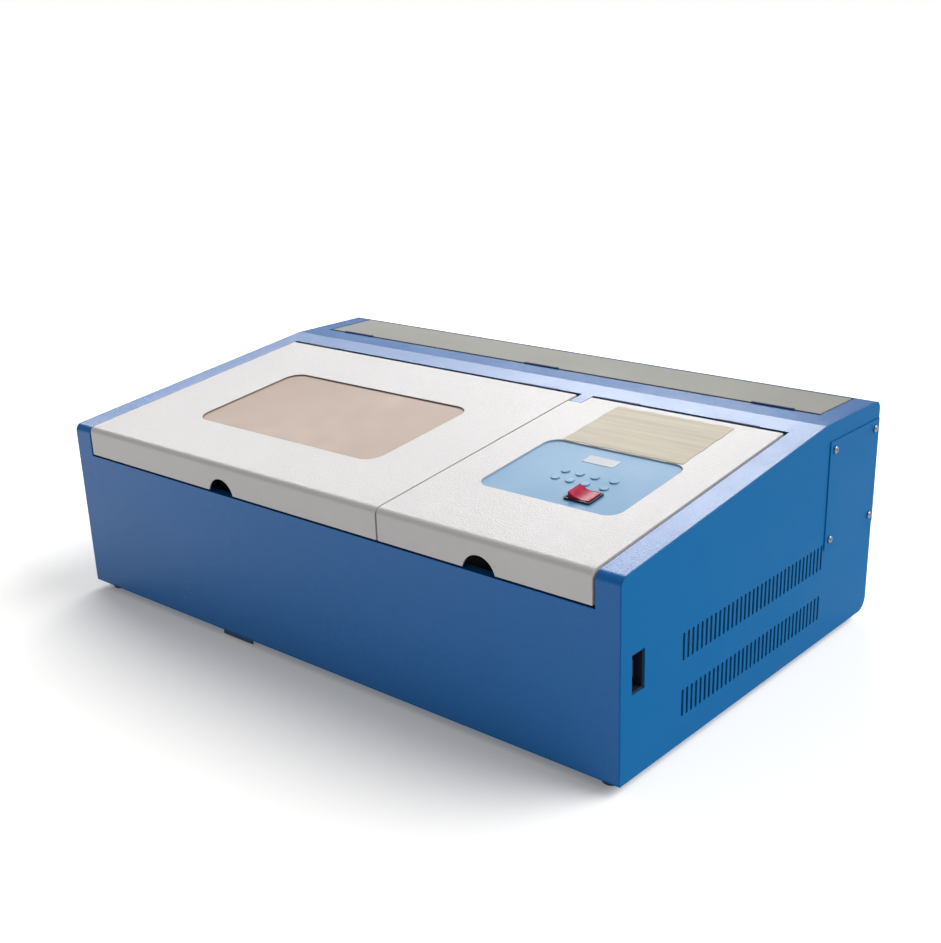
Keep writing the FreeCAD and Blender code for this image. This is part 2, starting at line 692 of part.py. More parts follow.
# ---- lids ------------------------------------------------------------------------------------
def lid_outline(inset):
    """The side outline of a sloping lid as (y, z) points and radii; open below when inset."""
    extra = 9 if inset else 0
    rise = LID_RISE - inset
    front = FRONT_Y + inset
    rear_top = slope_point(LID_REAR + extra, rise)
    rear_low = slope_point(LID_REAR + extra, -60 - extra)
    corner_z = FRONT_TOP_Z + rise / math.cos(SLOPE) + inset * math.tan(SLOPE)
    points = [(front, LIP_Z - extra), rear_low, rear_top, (front, corner_z)]
    return points, [0, 0, 0, LID_BEND - inset]


def lid_shell(x):
    """A folded lid: a sloping top, a front lip and two side flanges."""
    outer = prism_x(*lid_outline(0), x)
    inner = prism_x(*lid_outline(SHEET), (x[0] + SHEET, x[1] - SHEET))
    below = deck_box((x[0] - 1, x[1] + 1), (-60, LID_REAR + 20), (-90, LID_RISE - LID_FLANGE))
    keep_lip = box((x[0] - 2, x[1] + 2), (-5, LID_BEND), (0, FRONT_TOP_Z))
    return cut(outer, [inner, cut(below, [keep_lip])])


def finger_notch(centre):
    """The round cut in a lip for fingers."""
    radius = (NOTCH_WIDTH ** 2 / 4 + NOTCH_HEIGHT ** 2) / (2 * NOTCH_HEIGHT)
    return rod("y", (centre, -5, LIP_Z + NOTCH_HEIGHT - radius), radius, HEM_DEPTH)


def window_x(lap):
    """The left and right edge of the window, moved outwards by the lap."""
    return LEFT_LID_X[0] + WINDOW_LEFT_MARGIN - lap, LEFT_LID_X[1] - WINDOW_RIGHT_MARGIN + lap


def make_left_lid():
    """The lid over the work bay, with a window."""
    top = (LID_RISE - SHEET - 1, LID_RISE + 1)
    s = (WINDOW_FRONT, WINDOW_FRONT + WINDOW_DEPTH)
    hole = on_slope(slab(window_x(0), s, top, WINDOW_CORNER))
    return cut(lid_shell(LEFT_LID_X), [hole, finger_notch(sum(LEFT_LID_X) / 2)])


def make_window_pane():
    """The tinted sheet under the window."""
    s = (WINDOW_FRONT - PANE_LAP, WINDOW_FRONT + WINDOW_DEPTH + PANE_LAP)
    n = (LID_RISE - SHEET - PANE_THICKNESS, LID_RISE - SHEET)
    return on_slope(slab(window_x(PANE_LAP), s, n, WINDOW_CORNER / 2))


def make_right_lid():
    """The lid over the controls bay, open over the control panel and notched at the deck tab."""
    top = (LID_RISE - SHEET - 1, LID_RISE + 1)
    hole = on_slope(slab(PANEL_X, (PANEL_FRONT, PANEL_FRONT + PANEL_DEPTH), top, PANEL_CORNER))
    tab = deck_box((RIGHT_LID_X[0] - 1, DECK_TAB_X + DECK_TAB_WIDTH + LID_GAP),
                   (LID_REAR - DECK_TAB_REACH - LID_GAP, LID_REAR + 1), (-20, 20))
    return cut(lid_shell(RIGHT_LID_X), [hole, tab, finger_notch(sum(RIGHT_LID_X) / 2)])


def plate_n():
    """The lower and upper face of the control panel plate, off the deck."""
    return LID_RISE - 2 * SHEET, LID_RISE - SHEET


def key_places():
    """The centre of each key as (x, s), row by row."""
    return [(PANEL_X[0] + x, PANEL_FRONT + s) for s in KEY_ROWS for x in KEY_COLUMNS]


def display_span():
    """The x span and s span of the display."""
    x = PANEL_X[0] + DISPLAY_OFFSET_X
    s = PANEL_FRONT + DISPLAY_OFFSET_S
    return (x, x + DISPLAY_WIDTH), (s, s + DISPLAY_DEPTH)


def rocker_span(inset):
    """The x span and s span of the rocker switch, moved inwards by the inset."""
    x = PANEL_X[0] + ROCKER_OFFSET_X
    s = PANEL_FRONT + ROCKER_OFFSET_S
    half_x = ROCKER_WIDTH / 2 - inset
    half_s = ROCKER_DEPTH / 2 - inset
    return (x - half_x, x + half_x), (s - half_s, s + half_s)


def make_panel_plate():
    """The recessed plate that carries the display, the keys and the rocker switch."""
    low, top = plate_n()
    x = (PANEL_X[0] - PANEL_LAP, PANEL_X[1] + PANEL_LAP)
    s = (PANEL_FRONT - PANEL_LAP, PANEL_FRONT + PANEL_DEPTH + PANEL_LAP)
    plate = slab(x, s, (low, top), PANEL_CORNER / 2)
    holes = [slab(*display_span(), (low - 1, top + 1), 0), slab(*rocker_span(1), (low - 1, top + 1), 0)]
    for x_key, s_key in key_places():
        place = Vector(x_key, s_key, low - 1)
        holes.append(Part.makeCylinder(KEY_RADIUS + BODY_GAP, SHEET + 2, place))
    return on_slope(cut(plate, holes))


def make_display():
    """The milky window of the display, a little proud of its plate."""
    low, top = plate_n()
    return on_slope(slab(*display_span(), (low - 1, top + 0.4), 0))


def make_key(x, s):
    """One round key with the flange that keeps it in its hole."""
    low, top = plate_n()
    stem = Part.makeCylinder(KEY_RADIUS, top - low + KEY_HEIGHT + 1, Vector(x, s, low - 1))
    crown = [e for e in stem.Edges if abs(e.BoundBox.ZMin - top - KEY_HEIGHT) < 1e-6]
    stem = stem.makeFillet(0.5, crown)
    flange = Part.makeCylinder(KEY_RADIUS + 1.3, 1, Vector(x, s, low - 1 - BODY_GAP))
    return on_slope(fuse([stem, flange]))


def make_rocker_housing():
    """The switch body: a bezel on the plate, a pocket for the paddle, and its pivot."""
    low, top = plate_n()
    bezel = slab(*rocker_span(0), (top, top + BEZEL_HEIGHT), 1.5)
    body = slab(*rocker_span(1), (low - 12, top), 0)
    pocket = slab(*rocker_span(ROCKER_RIM), (low - 9, top + BEZEL_HEIGHT + 1), 0)
    span_x, span_s = rocker_span(1)
    pivot = Part.makeCylinder(ROCKER_PIVOT, span_s[1] - span_s[0],
                              Vector(sum(span_x) / 2, span_s[0], rocker_pivot_n()), Vector(0, 1, 0))
    return on_slope(fuse([cut(fuse([bezel, body]), [pocket]), pivot]))


def rocker_pivot_n():
    """The height of the paddle's pivot off the deck."""
    return plate_n()[1] - 0.7


def make_rocker_paddle():
    """The paddle: two wings that meet in a shallow dip, with its right end pressed down."""
    span_x, span_s = rocker_span(ROCKER_RIM + 2 * BODY_GAP)
    half = (span_x[1] - span_x[0]) / 2 - 0.8
    centre = sum(span_x) / 2
    wing = 6.5
    outline = [Vector(-half, 0, wing), Vector(-half + 0.4, 0, 0), Vector(-4, 0, -4.5)]
    outline += [Vector(4, 0, -4.5), Vector(half - 0.4, 0, 0), Vector(half, 0, wing)]
    sides = [Part.makeLine(a, b) for a, b in zip(outline, outline[1:])]
    dip = Part.Arc(outline[-1], Vector(0, 0, wing - 2.6), outline[0]).toShape()
    face = Part.Face(Part.Wire(sides + [dip]))
    paddle = face.extrude(Vector(0, span_s[1] - span_s[0], 0))
    bore = Part.makeCylinder(ROCKER_PIVOT + RUNNING_FIT, 60, Vector(0, -20, 0), Vector(0, 1, 0))
    paddle = paddle.cut(bore)
    paddle.rotate(Vector(0, 0, 0), Vector(0, 1, 0), ROCKER_TILT)
    paddle.translate(Vector(centre, span_s[0], rocker_pivot_n()))
    return on_slope(paddle)


def make_rear_lid():
    """The flat cover over the tube bay, a thin sheet flush with the flat top."""
    half = LID_OPENING_HALF - 0.5
    y = (REAR_LID_FRONT, REAR_LID_FRONT + REAR_LID_DEPTH)
    low = TOP_Z + rear_lid_underside()
    return box((-half, half), y, (low, low + THIN_SHEET))


# ---- tube bay --------------------------------------------------------------------------------
def make_laser_tube():
    """A sealed glass tube with a narrow bore tube inside it, closed by its two metal caps."""
    start = (TUBE_LEFT, TUBE_Y, BEAM_Z)
    ahead = (TUBE_LEFT - 1, TUBE_Y, BEAM_Z)
    inside = TUBE_RADIUS - TUBE_WALL
    jacket = rod("x", start, TUBE_RADIUS, TUBE_LENGTH)
    hollow = rod("x", ahead, inside, TUBE_LENGTH + 2)
    bore = rod("x", start, TUBE_BORE + TUBE_BORE_WALL, TUBE_LENGTH)
    bore = cut(bore, [rod("x", ahead, TUBE_BORE, TUBE_LENGTH + 2)])
    caps = []
    for x, out in ((TUBE_LEFT, -1), (TUBE_LEFT + TUBE_LENGTH, 1)):
        face = x + CAP_LENGTH * out
        tip = face + CAP_NOSE_LENGTH * out
        cap = rod("x", (min(x, face), TUBE_Y, BEAM_Z), inside + TUBE_WALL / 2, CAP_LENGTH)
        plug = rod("x", (min(x, x - CAP_PLUG * out), TUBE_Y, BEAM_Z), inside, CAP_PLUG)
        nose = rod("x", (min(face, tip), TUBE_Y, BEAM_Z), CAP_NOSE_RADIUS, CAP_NOSE_LENGTH)
        caps.append(fuse([cap, plug, nose]))
    middle = cut(bore, caps)
    return [cut(jacket, [hollow]), middle] + caps


def make_saddle(x):
    """A clamp that holds the tube off the shelf."""
    half = TUBE_RADIUS + SADDLE_FOOT
    block = box((x, x + SADDLE_WIDTH), (TUBE_Y - half, TUBE_Y + half), (SHELF_Z + SHEET, BEAM_Z))
    hoop = rod("x", (x, TUBE_Y, BEAM_Z), TUBE_RADIUS + SADDLE_WALL, SADDLE_WIDTH)
    hole = rod("x", (x - 1, TUBE_Y, BEAM_Z), TUBE_RADIUS, SADDLE_WIDTH + 2)
    return cut(fuse([block, hoop]), [hole])


def mirror_mount(x, y, turn, base):
    """A base, a post plate and a round mirror, turned about the upright axis."""
    back = MIRROR_THICKNESS
    wide, thick, tall = MIRROR_PLATE
    foot_wide, foot_deep, foot_thick = MIRROR_FOOT
    plate = Part.makeBox(wide, thick, tall, Vector(-wide / 2, back, -tall / 2))
    disc = Part.makeCylinder(MIRROR_RADIUS, back, Vector(0, back, 0), Vector(0, -1, 0))
    low = base - BEAM_Z
    stem = Part.makeBox(MIRROR_STEM_WIDTH, thick, -low, Vector(-MIRROR_STEM_WIDTH / 2, back, low))
    foot = Part.makeBox(foot_wide, foot_deep, foot_thick, Vector(-foot_wide / 2, -4, low))
    shapes = [fuse([plate, stem, foot]), disc]
    for shape in shapes:
        shape.rotate(Vector(0, 0, 0), Vector(0, 0, 1), turn)
        shape.translate(Vector(x, FRONT_Y + y, BEAM_Z))
    return shapes


# ---- exhaust ---------------------------------------------------------------------------------
def duct_x(extra):
    """The left and right edge of the duct, moved outwards."""
    return FAN_X - DUCT_WIDTH / 2 - extra, FAN_X + DUCT_WIDTH / 2 + extra


def duct_top():
    """The height of the duct's upper face."""
    return TRAY_Z + FAN_SIZE + DUCT_OVER_FAN


def fan_y():
    """The front and rear face of the exhaust fan."""
    rear = CASE_DEPTH - SHEET
    return rear - FAN_DEPTH, rear


def make_duct():
    """A sheet duct on the floor, open to the work bay and closed onto the fan."""
    y = (REAR_PARTITION - DUCT_LEAD, fan_y()[0])
    z = (TRAY_Z, duct_top())
    outer = box(duct_x(0), y, z)
    inner = box(duct_x(-THIN_SHEET), (y[0] - 1, y[1] - THIN_SHEET),
                (z[0] + THIN_SHEET, z[1] - THIN_SHEET))
    outlet = rod("y", (FAN_X, y[1] - 5, FAN_Z), SPIGOT_RADIUS - DUCT_OUTLET_LIP, 10)
    return cut(outer, [inner, outlet])


def make_fan_frame():
    """The square frame of the fan with its round throat and a four-armed motor spider."""
    y = fan_y()
    half = FAN_SIZE / 2
    frame = box((FAN_X - half, FAN_X + half), y, (FAN_Z - half, FAN_Z + half))
    throat = rod("y", (FAN_X, y[0] - 1, FAN_Z), half - FAN_RIM, FAN_DEPTH + 2)
    spider_y = (y[1] - 2 * SPIDER_DEPTH, y[1] - SPIDER_DEPTH)
    reach = half - FAN_RIM / 2
    arm = SPIDER_ARM / 2
    arms = [box((FAN_X - reach, FAN_X + reach), spider_y, (FAN_Z - arm, FAN_Z + arm)),
            box((FAN_X - arm, FAN_X + arm), spider_y, (FAN_Z - reach, FAN_Z + reach))]
    seat = rod("y", (FAN_X, spider_y[0], FAN_Z), HUB_RADIUS, SPIDER_DEPTH)
    spindle = rod("y", (FAN_X, y[0] + 8, FAN_Z), SPINDLE_RADIUS, spider_y[0] - y[0] - 7)
    return fuse([cut(frame, [throat])] + arms + [seat, spindle])


def make_fan_rotor():
    """The fan's hub and blades on its spindle."""
    front = fan_y()[0] + 6
    depth = FAN_DEPTH - 16
    hub = rod("y", (FAN_X, front, FAN_Z), HUB_RADIUS, depth)
    blades = []
    for i in range(BLADE_COUNT):
        blade = Part.makeBox(BLADE_THICKNESS, depth + 4, ROTOR_RADIUS - HUB_RADIUS + 2)
        blade.translate(Vector(-BLADE_THICKNESS / 2, -(depth + 4) / 2, HUB_RADIUS - 2))
        blade.rotate(Vector(0, 0, 0), Vector(0, 0, 1), BLADE_TWIST)
        blade.rotate(Vector(0, 0, 0), Vector(0, 1, 0), 360.0 * i / BLADE_COUNT)
        blade.translate(Vector(FAN_X, FRONT_Y + front + depth / 2, FAN_Z))
        blades.append(blade)
    limit = rod("y", (FAN_X, front, FAN_Z), ROTOR_RADIUS, depth)
    rotor = fuse([hub] + blades).common(limit)
    bore = rod("y", (FAN_X, front + 2, FAN_Z), SPINDLE_RADIUS + RUNNING_FIT, depth)
    return cut(rotor, [bore])


def make_spigot():
    """The round outlet that a hose slides over, with its flange on the back wall."""
    flange = rod("y", (FAN_X, CASE_DEPTH, FAN_Z), SPIGOT_RADIUS + SPIGOT_FLANGE, SHEET)
    tube = rod("y", (FAN_X, CASE_DEPTH, FAN_Z), SPIGOT_RADIUS, SPIGOT_REACH)
    bore = rod("y", (FAN_X, CASE_DEPTH - 1, FAN_Z), SPIGOT_RADIUS - SHEET, SPIGOT_REACH + 2)
    return cut(fuse([flange, tube]), [bore])


# ---- controls bay ----------------------------------------------------------------------------
def make_power_inlet():
    """The mains inlet: a flange, a shrouded socket and three flat pins."""
    side, over, thick = INLET_FLANGE
    rear = CASE_DEPTH
    wall = INLET_WALL
    flange = box((INLET_X[0] - side, INLET_X[1] + side), (rear, rear + thick),
                 (INLET_Z[0] - over, INLET_Z[1] + over))
    body = box(INLET_X, (rear - INLET_BODY_DEPTH, rear), INLET_Z)
    pocket = box((INLET_X[0] + wall, INLET_X[1] - wall),
                 (rear - INLET_POCKET_DEPTH, rear + thick + 1), (INLET_Z[0] + wall, INLET_Z[1] - wall))
    middle_x = sum(INLET_X) / 2
    middle_z = sum(INLET_Z) / 2
    pins = []
    for dx, dz in ((-7, -2), (0, 2), (7, -2)):
        pins.append(box((middle_x + dx - 1, middle_x + dx + 1),
                        (rear - INLET_POCKET_DEPTH - 1, rear - 2),
                        (middle_z + dz - 3, middle_z + dz + 3)))
    return fuse([cut(fuse([flange, body]), [pocket])] + pins)


def make_port_module():
    """The recessed data port behind the cut-out in the right side."""
    wall = SOCKET_WALL
    y = (PORT_FRONT - wall, PORT_FRONT + PORT_DEPTH + wall)
    low, high = port_z(-wall)
    block = box((INNER_X - SOCKET_DEPTH, INNER_X), y, (low, high))
    pocket = box((INNER_X - SOCKET_POCKET, INNER_X + 1), (y[0] + 2 * wall, y[1] - 2 * wall),
                 (low + 2 * wall, high - 2 * wall))
    middle = PORT_FRONT + PORT_DEPTH / 2
    plug = box((INNER_X - SOCKET_POCKET - 1, INNER_X - 6), (middle - 3, middle + 3),
               (low + 14, high - 14))
    return fuse([cut(block, [pocket]), plug])


def make_controller_board():
    """A circuit board on four posts with its heat sink, terminals and chips."""
    x = (SPLIT_X + BOARD_FROM_SPLIT, SPLIT_X + BOARD_FROM_SPLIT + BOARD_WIDTH)
    y = (BOARD_FRONT, BOARD_FRONT + BOARD_DEPTH)
    low = TRAY_Z + BOARD_RISE
    top = low + BOARD_THICKNESS
    board = box(x, y, (low, top))
    posts = []
    for px in (x[0] + 5, x[1] - 5):
        for py in (y[0] + 5, y[1] - 5):
            posts.append(rod("z", (px, py, TRAY_Z), BOARD_POST, BOARD_RISE))
    sink_x = x[0] + 12
    sink_y = y[0] + 20
    sink = box((sink_x, sink_x + SINK_SIZE[0]), (sink_y, sink_y + SINK_SIZE[1]),
               (top, top + SINK_SIZE[2]))
    grooves = []
    for i in range(SINK_GROOVES):
        left = sink_x + 3 + 5 * i
        grooves.append(box((left, left + 2), (sink_y - 1, sink_y + SINK_SIZE[1] + 1),
                           (top + 4, top + SINK_SIZE[2] + 1)))
    terminals = box((x[0] + 10, x[1] - 10), (y[1] - 12, y[1] - 2), (top, top + 9.5))
    chip = box((x[1] - 45, x[1] - 25), (y[0] + 25, y[0] + 45), (top, top + 2.5))
    return [board] + posts + [cut(sink, grooves), terminals, chip]


def make_power_supply():
    """The tube's high-voltage supply: a closed metal box with a terminal strip."""
    x = (SPLIT_X + SUPPLY_FROM_SPLIT, SPLIT_X + SUPPLY_FROM_SPLIT + SUPPLY_WIDTH)
    rear = REAR_PARTITION - SUPPLY_SETBACK
    y = (rear - SUPPLY_DEPTH, rear)
    top = TRAY_Z + SUPPLY_HEIGHT
    case = box(x, y, (TRAY_Z, top))
    slots = []
    for i in range(SUPPLY_SLOTS):
        left = x[0] + 12 + SUPPLY_SLOT_PITCH * i
        slots.append(box((left, left + SUPPLY_SLOT_WIDTH), (y[0] + 60, y[1] - 20), (top - 2, top + 2)))
    strip_z = TRAY_Z + 10
    strip = box((x[0] + 20, x[1] - 20), (y[0] - STRIP_DEPTH, y[0]), (strip_z, strip_z + STRIP_HEIGHT))
    return fuse([cut(case, slots), strip])


# ---- motion system ---------------------------------------------------------------------------
def rail_bars():
    """The two cross bars that carry the guide rods, from the left side to the partition."""
    x = (-INNER_X, SPLIT_X - THIN_SHEET / 2)
    bars = []
    for y in (BAR_FRONT, BAR_REAR):
        bar = box(x, (y, y + BAR_DEPTH), (BAR_LOW, BAR_LOW + 2 * BAR_HALF_HEIGHT))
        holes = [rod("y", (rod_x, y - 1, ROD_Z), ROD_RADIUS + PIN_GRIP, BAR_DEPTH + 2)
                 for rod_x in (ROD_LEFT, ROD_RIGHT)]
        bars.append(cut(bar, holes))
    return bars


def guide_rods():
    """The two round rods that the gantry runs on."""
    length = BAR_REAR + BAR_DEPTH - BAR_FRONT
    return [rod("y", (x, BAR_FRONT, ROD_Z), ROD_RADIUS, length) for x in (ROD_LEFT, ROD_RIGHT)]


def belt_loop(start, end, radius, width, across):
    """A flat belt round two pulleys; across is its running direction, x or y."""
    outer = radius + BELT_THICKNESS
    if across == "y":
        x = (start[0] - width / 2, start[0] + width / 2)
        ends = [rod("x", (x[0], p[1], p[2]), outer, width) for p in (start, end)]
        holes = [rod("x", (x[0] - 1, p[1], p[2]), radius, width + 2) for p in (start, end)]
        run = box(x, (start[1], end[1]), (start[2] - outer, start[2] + outer))
        gap = box((x[0] - 1, x[1] + 1), (start[1], end[1]), (start[2] - radius, start[2] + radius))
    else:
        z = (start[2] - width / 2, start[2] + width / 2)
        ends = [rod("z", (p[0], p[1], z[0]), outer, width) for p in (start, end)]
        holes = [rod("z", (p[0], p[1], z[0] - 1), radius, width + 2) for p in (start, end)]
        run = box((start[0], end[0]), (start[1] - outer, start[1] + outer), z)
        gap = box((start[0], end[0]), (start[1] - radius, start[1] + radius), (z[0] - 1, z[1] + 1))
    return cut(fuse([run] + ends), [gap] + holes)


def y_belts():
    """The two belts that pull the gantry, one inside each guide rod."""
    loops = []
    for x in (Y_BELT_LEFT, Y_BELT_RIGHT):
        start = (x, Y_IDLER, BELT_Z)
        end = (x, Y_SHAFT, BELT_Z)
        loops.append(belt_loop(start, end, PULLEY_RADIUS + BODY_GAP, BELT_WIDTH, "y"))
    return loops


def pulley(axis, centre, bore):
    """A flanged pulley centred on a point."""
    half = BELT_WIDTH / 2 + 0.5
    index = {"x": 0, "y": 1, "z": 2}[axis]

    def along(offset):
        place = list(centre)
        place[index] += offset
        return place

    pieces = [rod(axis, along(-half - 1), PULLEY_RADIUS, 2 * half + 2)]
    pieces.append(rod(axis, along(-half - 1), FLANGE_RADIUS, 1))
    pieces.append(rod(axis, along(half), FLANGE_RADIUS, 1))
    body = fuse(pieces)
    if bore:
        body = cut(body, [rod(axis, along(-half - 2), bore, 2 * half + 4)])
    return body


def make_drive_shaft():
    """The shaft across the rear of the work bay with a belt pulley near each end."""
    start = Y_BELT_LEFT - 8
    end = SPLIT_X + THIN_SHEET / 2 - BODY_GAP
    shaft = rod("x", (start, Y_SHAFT, BELT_Z), SHAFT_RADIUS, end - start)
    pulleys = [pulley("x", (x, Y_SHAFT, BELT_Z), 0) for x in (Y_BELT_LEFT, Y_BELT_RIGHT)]
    return fuse([shaft] + pulleys)


def make_y_idlers():
    """The two front pulleys of the long belts."""
    places = [(x, Y_IDLER, BELT_Z) for x in (Y_BELT_LEFT, Y_BELT_RIGHT)]
    return [pulley("x", place, PULLEY_AXLE + RUNNING_FIT) for place in places]


def make_axle_plate(x, out):
    """A plate under the front bar with the axle of one long belt's front pulley."""
    near = x + out * (BELT_WIDTH / 2 + 2)
    plate = box(sorted((near, near + SUPPORT_PLATE * out)), (BAR_FRONT, BAR_FRONT + BAR_DEPTH),
                (BELT_Z - 6, BAR_LOW))
    ends = sorted((near + out, x - out * (BELT_WIDTH / 2 + 2)))
    axle = rod("x", (ends[0], Y_IDLER, BELT_Z), PULLEY_AXLE, ends[1] - ends[0])
    return fuse([plate, axle])


def make_bearing_plate(x, out):
    """A plate under the rear bar that the drive shaft turns in."""
    near = x + out * (BELT_WIDTH + 6)
    span = sorted((near, near + BEARING_PLATE * out))
    half = SHAFT_RADIUS + 3
    hanger = box(span, (BAR_REAR, BAR_REAR + BAR_DEPTH), (BELT_Z - half, BAR_LOW))
    arm = box(span, (Y_SHAFT - half - 1, BAR_REAR + 1), (BELT_Z - half, BELT_Z + half))
    hole = rod("x", (span[0] - 1, Y_SHAFT, BELT_Z), SHAFT_RADIUS + RUNNING_FIT, BEARING_PLATE + 2)
    return cut(fuse([hanger, arm]), [hole])


def make_shaft_supports():
    """Two axle plates under the front bar and two bearing plates under the rear bar."""
    supports = []
    for x, out in ((Y_BELT_LEFT, 1), (Y_BELT_RIGHT, -1)):
        supports.append(make_axle_plate(x, out))
        supports.append(make_bearing_plate(x, out))
    return supports


def motor_box(x, y, z):
    """A square stepper motor with chamfered long edges; the longest extent is its axis."""
    block = box(x, y, z)
    spans = (abs(x[1] - x[0]), abs(y[1] - y[0]), abs(z[1] - z[0]))
    index = min(range(3), key=lambda i: abs(spans[i] - MOTOR_LENGTH))
    long_edges = []
    for edge in block.Edges:
        size = edge.BoundBox
        if abs((size.XLength, size.YLength, size.ZLength)[index] - MOTOR_LENGTH) < 1e-6:
            long_edges.append(edge)
    return block.makeChamfer(MOTOR_CHAMFER, long_edges)


def make_y_motor():
    """The motor that turns the drive shaft, on the controls side of the partition."""
    half = MOTOR_SIZE / 2
    left = SPLIT_X + THIN_SHEET / 2
    return motor_box((left, left + MOTOR_LENGTH), (Y_SHAFT - half, Y_SHAFT + half),
                     (BELT_Z - half, BELT_Z + half))


def gantry_z():
    """The lower and upper face of the gantry's cross beam."""
    return ROD_Z - BEAM_DROP, ROD_Z + BEAM_TOP


def bracket_z():
    """The lower and upper face of the plates under the beam that hold the head belt's ends."""
    return gantry_z()[0] - BRACKET, gantry_z()[0]


def make_gantry_beam():
    """Two bearing blocks on the guide rods, the cross beam between them, and its brackets."""
    home = GANTRY_HOME
    low, high = gantry_z()
    rear = home + BEAM_HALF_DEPTH
    half = MOTOR_SIZE / 2
    block_y = (home - BLOCK_HALF_DEPTH, home + BLOCK_HALF_DEPTH)
    inner = BLOCK_HALF_WIDTH - 1
    clamp_z = (BELT_Z + BELT_REACH + BODY_GAP, low + 1)
    pieces = [box((ROD_LEFT + inner, ROD_RIGHT - inner), (home - BEAM_HALF_DEPTH, rear), (low, high))]
    pieces.append(box((X_DRIVE - half, X_DRIVE + half), (X_BELT_Y - half, rear), bracket_z()))
    pieces.append(box((X_IDLER - 10, X_IDLER + 10), (X_BELT_Y - 10, rear), bracket_z()))
    pieces.append(rod("z", (X_IDLER, X_BELT_Y, low - 1), PULLEY_AXLE, 12))
    bores = [rod("z", (X_DRIVE, X_BELT_Y, low - BRACKET - 1), MOTOR_BOSS, BRACKET + 1)]
    for x in (ROD_LEFT, ROD_RIGHT):
        pieces.append(box((x - BLOCK_HALF_WIDTH, x + BLOCK_HALF_WIDTH), block_y,
                          (ROD_Z - BLOCK_DROP, ROD_Z + BLOCK_RISE)))
        bores.append(rod("y", (x, block_y[0] - 1, ROD_Z), ROD_RADIUS + RUNNING_FIT,
                         2 * BLOCK_HALF_DEPTH + 2))
    for x in (Y_BELT_LEFT, Y_BELT_RIGHT):
        pieces.append(box((x - BELT_WIDTH / 2, x + BELT_WIDTH / 2), (home - 6, home + 6), clamp_z))
    return cut(fuse(pieces), bores)


def make_x_motor():
    """The motor under the gantry that drives the head belt."""
    half = MOTOR_SIZE / 2
    top = bracket_z()[0]
    return motor_box((X_DRIVE - half, X_DRIVE + half), (X_BELT_Y - half, X_BELT_Y + half),
                     (top - MOTOR_LENGTH, top))


def x_belt_z():
    """The height of the middle of the head belt."""
    return gantry_z()[0] + HEAD_BELT_RISE


def make_x_belt():
    """The belt along the front of the gantry."""
    ends = [(x, X_BELT_Y, x_belt_z()) for x in (X_IDLER, X_DRIVE)]
    return belt_loop(ends[0], ends[1], PULLEY_RADIUS + BODY_GAP, BELT_WIDTH, "x")


def make_x_drive_pulley():
    """The driven pulley with its shaft down to the motor."""
    foot = bracket_z()[0] + BODY_GAP
    shaft = rod("z", (X_DRIVE, X_BELT_Y, foot), PULLEY_AXLE, x_belt_z() - foot)
    return fuse([pulley("z", (X_DRIVE, X_BELT_Y, x_belt_z()), 0), shaft])


def make_x_idler():
    """The free pulley at the left end of the gantry."""
    return pulley("z", (X_IDLER, X_BELT_Y, x_belt_z()), PULLEY_AXLE + RUNNING_FIT)


def make_gantry_mirror():
    """The mirror that rides on the gantry's left end, and the arm that carries it."""
    base = ROD_Z + BLOCK_RISE
    y = GANTRY_HOME - OPTIC_OFFSET
    mount, disc = mirror_mount(BEAM_X, y, 135, base)
    arm = box((BEAM_X - 6, ROD_LEFT + BLOCK_HALF_WIDTH - 2), (y - 4, GANTRY_HOME + 12),
              (base, base + MIRROR_FOOT[2]))
    return [fuse([arm, mount]), disc]


def make_head_carriage():
    """The slider over the gantry beam with the arm that carries the lens tube."""
    rear = GANTRY_HOME + BEAM_HALF_DEPTH + BODY_GAP
    top = gantry_z()[1] + BODY_GAP
    x = (HEAD_HOME - HEAD_HALF_WIDTH, HEAD_HOME + HEAD_HALF_WIDTH)
    front = X_BELT_Y - FLANGE_RADIUS - 1
    outer = front - SLIDER_SHEET - 1
    pieces = [box(x, (outer, rear + SLIDER_SHEET), (top, top + SLIDER_SHEET))]
    pieces.append(box(x, (rear, rear + SLIDER_SHEET), (top - 12, top + 1)))
    pieces.append(box(x, (outer, front), (gantry_z()[0] + BODY_GAP, top + 30)))
    arm_y = (GANTRY_HOME - OPTIC_OFFSET + LENS_CUBE - 1, front - SLIDER_SHEET)
    pieces.append(box((HEAD_HOME - 10, HEAD_HOME + 10), arm_y, (top + 6, top + 26)))
    return fuse(pieces)


def make_lens_tube():
    """The mirror housing and the nozzle under it."""
    y = GANTRY_HOME - OPTIC_OFFSET
    top = gantry_z()[1] + BODY_GAP
    low = top - LENS_DROP
    tip_z = low - NOZZLE_LENGTH
    cube = box((HEAD_HOME - LENS_CUBE, HEAD_HOME + LENS_CUBE), (y - LENS_CUBE, y + LENS_CUBE - 1),
               (top + 2, top + 30))
    barrel = rod("z", (HEAD_HOME, y, low), LENS_BARREL, LENS_DROP + 3)
    place = Vector(HEAD_HOME, FRONT_Y + y, tip_z)
    tip = Part.makeCone(NOZZLE_TIP, LENS_BARREL, NOZZLE_LENGTH, place)
    sight = rod("x", (HEAD_HOME - LENS_CUBE - 1, y, BEAM_Z), SIGHT_HOLE, LENS_CUBE + 1)
    bore = rod("z", (HEAD_HOME, y, tip_z - 1), LENS_BORE, BEAM_Z - tip_z)
    return cut(fuse([cube, barrel, tip]), [sight, bore])


# ---- work bed --------------------------------------------------------------------------------
def bed_x(inset):
    """The left and right edge of the bed, moved inwards."""
    return BED_X - BED_WIDTH / 2 + inset, BED_X + BED_WIDTH / 2 - inset


def guide_places():
    """The x of the two jaw guides."""
    return bed_x(GUIDE_INSET)


def guide_rod(x, y, radius, length):
    """A rod along a jaw guide."""
    return rod("y", (x, y, BED_Z + JAW_HEIGHT / 2), radius, length)


